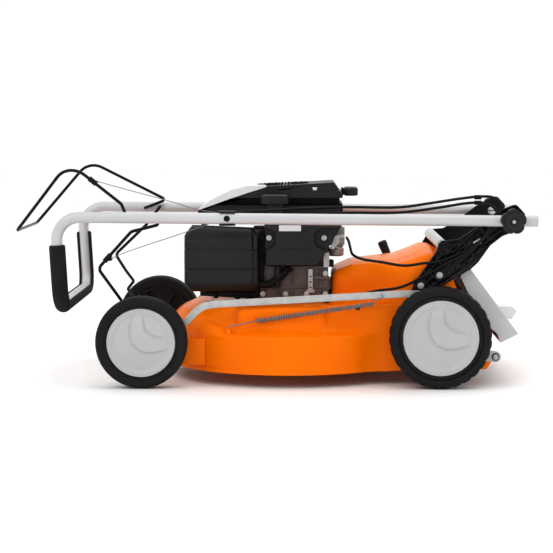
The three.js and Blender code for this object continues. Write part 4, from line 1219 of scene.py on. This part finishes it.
def cover_depth(x, z, edge):
    levels, depths = zip(*COVER_STEPS)
    wave = np.interp(z, levels, depths)
    notch = 2.4 * (1 - smooth((np.abs(x + 41) - 1.0) / 1.6)) * smooth((z - 186) / 4)
    return wave + notch + edge_round(edge, 8)


def add_filter():
    front = relief(rounded(COVER, 13, 6), -129.8, -100, cover_depth, 1.7)
    inset = [
        (-174, 198), (-166, 181), (-42, 181), (-33, 191), (-33, 283), (-44, 301), (-163, 306), (-175, 291)
    ]
    back = plate(rounded(inset, 10), -101, -82.2)
    piece("air_filter_shell", merged(front, back), "engine_plastic", "chassis", "air_filter_cover", sharp=46)
    carried("air_filter_element", "filter_paper", 0.6)
    carried("air_filter_base", "engine_plastic", 0.8)
    handle = rounded([(-41, 262), (-31, 262), (-31, 292), (-41, 296)], 3)
    handle = relief(handle, -129, -112, lambda x, z, edge: edge_round(edge, 3), 1.6)
    piece("air_filter_latch", handle, "engine_plastic", "chassis")


FILLER = (2, -105, 0)


def add_tank():
    back = plate(rounded(TANK, 4), -121.5, -78.5)
    front = [(-17, 231), (84, 231), (96, 242), (106, 262)] + arc(101, 286, 20, 250, 98)
    front += [(131, 304), (136, 311), (136, 313), (-17, 313), (-17, 304)]
    front += arc(-14, 285, 19, 78, -78) + [(-17, 262)]
    piece("fuel_tank_back", back, "engine_plastic", "chassis", "fuel_tank", bevel=2.4, segments=4)
    face = relief(front, -134.8, -121, lambda x, z, e: edge_round(e, 4) + 1.2 * smooth((e - 9) / 2), 2.6)
    piece("fuel_tank_front", face, "engine_plastic", "chassis", sharp=46)
    for number, (x, z) in enumerate(((-9, 287), (101, 287))):
        hex_bolt(f"tank_bolt_{number}", x, z, -122.4, -1, 4.0, "zinc", "chassis", 3.4, 1.2)
        washer = round_bar(x, z, -122.6, -121, 7.4, 30)
        piece(f"tank_washer_{number}", washer, "rubber", "chassis", bevel=0.3, segments=1)
    panel = plate(
        rounded([(10, 266), (74, 266), (82, 284), (78, 300), (6, 300), (4, 284)], 5), -134.9, -132.2
    )
    piece("fuel_tank_panel", panel, "engine_plastic", "chassis", bevel=1.0)
    label = plate(rounded([(11, 301), (55, 301), (55, 313), (11, 313)], 1), -135.0, -134.6)
    piece("fuel_tank_label", label, "trim", "chassis")
    neck = lathe(
        [(0, 312), (22, 312), (22, 318), (18.6, 322), (17, 330), (17, 353.6), (0, 353.6)], FILLER, "Z", 48
    )
    piece("filler_neck", neck, "engine_plastic", "chassis", bevel=0.8)
    profile = [
        (0, 354.4), (27, 354.4), (28, 356), (28, 368.5), (26.2, 371.4), (21, 372.8), (19, 371.6), (0, 371.6)
    ]
    cap = lathe(
        profile, FILLER, "Z", 144, lambda angle, k: -0.45 * (1 + math.cos(24 * angle)) if k in (2, 3) else 0
    )
    wing = block((-17, -108, 371.4), (21, -102, 372.9))
    piece("filler_cap", merged(cap, wing), "engine_plastic", "cap", "fuel_cap", bevel=0.3, segments=2)


add_filter()
add_tank()

SHROUD_LOW = [(-150, 316), (139, 316), (139, 352), (-120, 352), (-154, 337), (-156, 330)]
SHROUD_HOOD = [
    (-150, 316), (-146.4, 316), (-152, 330), (-150.6, 334.6), (-119, 348.5), (135.5, 348.5), (135.5, 316),
    (139, 316), (139, 352), (-120, 352), (-154, 337), (-156, 330),
]
SHROUD_BAND = [(-110, 351), (133, 351), (133, 366), (-84, 366)]


def add_shroud():
    hood = plate(rounded(SHROUD_HOOD, 1.5), -70, 96.5)
    cheeks = [plate(rounded(SHROUD_LOW, 4), y0, y1) for y0, y1 in ((-70, -66.6), (93.1, 96.5))]
    outline = rounded([(-122, 317), (133, 317), (133, 345), (-128, 345), (-146, 336)], 3)
    skirts = [plate(outline, y0, y1) for y0, y1 in ((-73.4, -69.6), (95.6, 99.4))]
    band = plate(SHROUD_BAND, -60, 88)
    roof = [
        (-154, 336), (-154, 338), (-45, 386), (60, 392), (121, 395.6), (131, 382), (131, 364), (-88, 364),
        (-148, 336),
    ]
    ledge = plate(rounded([(-96, 364.5), (139, 364.5), (139, 374), (130, 380), (-70, 380)], 3), -73.8, 99.8)
    side = plate(
        rounded([(-140, 343), (-50, 381), (60, 389), (116, 391), (127, 380), (127, 366), (-92, 366)], 4),
        -71.4, 97.4
    )
    crown = plate(rounded(roof, 4), -66, 92)
    ribs = [
        plate([(x, 350), (x + 5, 350), (x + 5, 366), (x, 366)], y0, y1)
        for x in range(-80, 130, 17) for y0, y1 in ((-63, -59), (87, 91))
    ]
    piece("engine_shroud_crown", crown, "engine_plastic", "chassis", "engine_shroud", bevel=3.4, segments=5)
    piece("engine_shroud_sides", merged(side, ledge), "engine_plastic", "chassis", bevel=2.2, segments=4)
    piece(
        "engine_shroud_skirt", merged(hood, *cheeks, *skirts), "engine_plastic", "chassis", bevel=1.4,
        segments=3
    )
    piece("engine_shroud_band", merged(band, *ribs), "rubber", "chassis", bevel=0.8, segments=2)
    hook = rounded([(77, 386), (88, 386), (85, 377), (80, 377)], 1.5)
    catches = [plate(hook, y0, y1) for y0, y1 in ((-72.6, -71), (97, 98.6))]
    piece("shroud_catches", merged(*catches), "trim", "chassis", bevel=0.5, segments=2)
    slots = []
    for ring_radius, count in ((26, 12), (40, 18), (54, 24)):
        for i in range(count):
            a = 2 * math.pi * (i + 0.5) / count
            u, v = Vector((math.cos(a), math.sin(a))), Vector((-math.sin(a), math.cos(a)))
            at = Vector((22, 12)) + u * ring_radius
            if at.x > 70:
                continue
            outline = [at + u * 5 + v * 1.5, at - u * 5 + v * 1.5, at - u * 5 - v * 1.5, at + u * 5 - v * 1.5]
            level = 388.2 + (at.x + 45) * 0.0437
            slots.append(slab([(p.x, p.y) for p in outline], level - 2, level + 1.0))
    piece("shroud_vents", merged(*slots), "rubber", "chassis", bevel=0.2, segments=1)
    trim = [
        (-155, 341), (-121, 364), (-88, 380), (-56, 388.6), (-20, 389.6), (-14, 387), (-20, 385), (-49, 376),
        (-91, 362), (-146, 342)
    ]
    wedge = plate(rounded(trim, 2), -74, 99.8)
    piece("shroud_trim_wedge", wedge, "trim", "chassis", "shroud_trim", bevel=2.0, segments=4)
    grip = [(142, -32), (160, -34), (171, -26), (171, 26), (160, 34), (142, 32)]
    body = slab(rounded(grip, 9, 7), 367, 384)
    piece("starter_handle", body, "engine_plastic", "starter", "starter_grip", bevel=4.5, segments=5)
    collar = lathe([(0, 0), (9, 0), (9, 3.4), (6.5, 5.6), (0, 5.6)], (136.8, 0, 374.5), "X", 30)
    piece("starter_collar", collar, "rubber", "chassis", bevel=0.4, segments=2)
    rope = rod([(139, 0, 374), (150, 0, 375)], 3.2, 16)
    piece("starter_rope_end", rope, "rubber", "starter")


def add_block():
    carried("engine_block", "dark_casting", 1.6, 3)
    foot = merged(
        slab(rounded([(-34, -104), (118, -104), (118, 104), (-34, 104)], 14), 155.4, 165),
        slab(rounded([(-31, -100.5), (114, -100.5), (114, 100.5), (-31, 100.5)], 10), 183.5, 189.5),
    )
    piece("engine_block_flanges", foot, "dark_casting", "chassis", bevel=1.6)
    for number, (x, z) in enumerate(((-22, 172), (24, 172), (66, 172), (104, 172), (104, 214))):
        boss = round_bar(x, z, -104.2, -96, 6.4, 24)
        piece(f"block_boss_{number}", boss, "dark_casting", "chassis", bevel=1.0)
        hex_bolt(f"block_bolt_{number}", x, z, -104.2, -1, 3.9, "zinc", "chassis", 3.2, 1.0)
    carried("cylinder_head", "casting", 0.8)
    plug = merged(
        rod([(-122, 0, 250), (-146, 0, 250)], 6.8, 24),
        rod([(-146, 0, 250), (-149, 0, 250), (-168, 0, 250), (-171, 0, 250)], 9.8, 28),
    )
    piece("spark_plug_boot", plug, "rubber", "chassis", "spark_plug", bevel=1.2)
    lead = rod(
        spline([(-166, 0, 258), (-172, 8, 276), (-160, 24, 296), (-130, 34, 312), (-110, 40, 322)], 10), 3.2,
        12
    )
    piece("spark_plug_lead", lead, "rubber", "chassis")
    carried("muffler", "steel", 4.0, 5)
    shield = plate(rounded([(-144, 210), (-58, 210), (-58, 272), (-144, 272)], 8), 112.4, 114.2)
    louvres = []
    for x in range(-134, -64, 13):
        louvres.append(plate(rounded([(x, 222), (x + 5, 222), (x + 5, 260), (x, 260)], 2), 113.6, 115.4))
    piece("muffler_shield", merged(shield, *louvres), "steel", "chassis", bevel=0.6, segments=2)


def add_controls():
    carried("carburettor", "casting", 1.0)
    strap = plate(rounded([(69, 177), (79, 177), (79, 223), (69, 223)], 2), -105, -102.4)
    edges = [plate([(x, 178), (x + 1.6, 178), (x + 1.6, 222), (x, 222)], -106, -104) for x in (69.4, 77)]
    foot = plate(rounded([(66, 175), (82, 175), (82, 182), (66, 182)], 2), -104.4, -102)
    piece(
        "brake_strap", merged(strap, foot, *edges), "zinc", "chassis", "brake_bracket", bevel=0.5, segments=2
    )
    holes = [round_bar(74, z, -105.4, -104.4, 1.7, 16) for z in (186, 197, 208)]
    piece("brake_strap_holes", merged(*holes), "rubber", "chassis")
    arm = plate(rounded([(79, 202), (112, 202), (112, 209), (79, 209)], 2), -104, -101.6)
    piece("brake_arm", arm, "dark_casting", "chassis", bevel=0.5, segments=2)
    links = merged(
        rod(bent([(104, -78, 288), (116, -86, 291, 3), (133, -88, 284, 4), (143, -80, 287)]), 1.6, 10),
        rod(bent([(106, -80, 262), (120, -88, 268, 4), (136, -90, 262, 4), (141, -78, 272)]), 1.6, 10),
        plate(rounded([(118, 284), (143, 289), (141, 293), (117, 289)], 1.5), -91, -89.6),
        plate(
            rounded([(110, 264), (121, 262), (133, 276), (131, 288), (122, 290), (119, 276)], 2.5), -94, -92.6
        ),
        plate(rounded([(100, 226), (112, 226), (112, 256), (100, 256)], 2), -99.4, -97.8),
        round_bar(127, 280, -96.5, -91, 3.6, 18),
        round_bar(106, 246, -102, -97, 3.4, 18),
    )
    piece("governor_links", links, "zinc", "chassis", bevel=0.4, segments=2)
    spring = rod(helix((112, -86, 258), (138, -82, 267), 2.4, 12, 10), 0.55, 6)
    piece("governor_spring", spring, "steel", "chassis", sharp=60)
    bowl = lathe([(0, 246), (13, 246), (15.5, 248.5), (16, 262), (0, 262)], (126, -58, 0), "Z", 40)
    piece("carburettor_bowl", bowl, "casting", "chassis", bevel=1.0)
    clip = plate(rounded([(110, 226), (121, 226), (121, 240), (114, 242), (110, 238)], 2), -92, -84)
    piece("wire_clip", clip, "rubber", "chassis", bevel=0.8, segments=2)
    route = [(-28.6, 190), (-12, 191), (3, 196), (17, 207), (26, 217), (31, 227)]
    hose = spline([(x, -110, z) for x, z in route], 8)
    ribs = []
    for i, p in enumerate(hose[:-1]):
        ribs.append(rod([p.lerp(hose[i + 1], 0.2), p.lerp(hose[i + 1], 0.7)], 5.0, 16))
    elbow = rod(bent([(-30, -108, 192), (-6, -108, 192, 12), (34, -106, 228)]), 7.4, 22)
    piece(
        "breather_hose", merged(elbow, rod(hose, 4.3, 18), *ribs), "rubber", "chassis", "breather_tube",
        bevel=0.2, segments=1
    )
    stub = rod([(8, -108, 229), (8, -108, 196), (8, -104, 188)], 6.2, 20)
    # A black piece under the air filter stands in for the engine's dark lower parts and for the shadow under
    # the engine, so it is partly painted shade.
    underparts_and_shade = merged(
        plate(rounded([(-150, 166), (-40, 160), (-30, 160), (-30, 180), (-150, 180)], 4), -80, -74),
        slab(rounded([(-152, -80), (-34, -80), (-34, -30), (-120, -30)], 6), 172, 177),
        rod([(-118, -80, 174), (-118, -80, 161)], 5, 16), rod([(-52, -80, 174), (-52, -80, 157)], 5, 16),
        rod([(-84, -78, 168), (-74, -78, 160), (-66, -78, 166)], 3, 12),
    )
    piece("engine_underparts_and_shade", underparts_and_shade, "black_paint", "chassis", bevel=1.0, segments=2)
    column = merged(
        plate(rounded([(-30, 190), (-18, 190), (-18, 300), (-30, 300)], 2), -101, -80),
        round_bar(-23, 206, -106, -98, 4.4, 20), round_bar(-24, 248, -105, -98, 3.4, 20),
        round_bar(-23, 286, -107, -98, 5, 20),
    )
    piece("intake_column", column, "rubber", "chassis", bevel=0.8, segments=2)
    piece("oil_filler_tube", stub, "engine_plastic", "chassis", bevel=0.8)


def add_drive():
    carried("chute_floor", "black_paint", 0.8)
    carried("gearbox", "casting", 2.4, 3)
    carried("flywheel", "casting", 0.8)
    carried("blade_bolt", "zinc", 0.5)
    for node in ("gearbox_pulley", "crankshaft", "engine_pulley", "blade"):
        carried(node, "steel", 0.5)


add_shroud()
add_block()
add_controls()
add_drive()
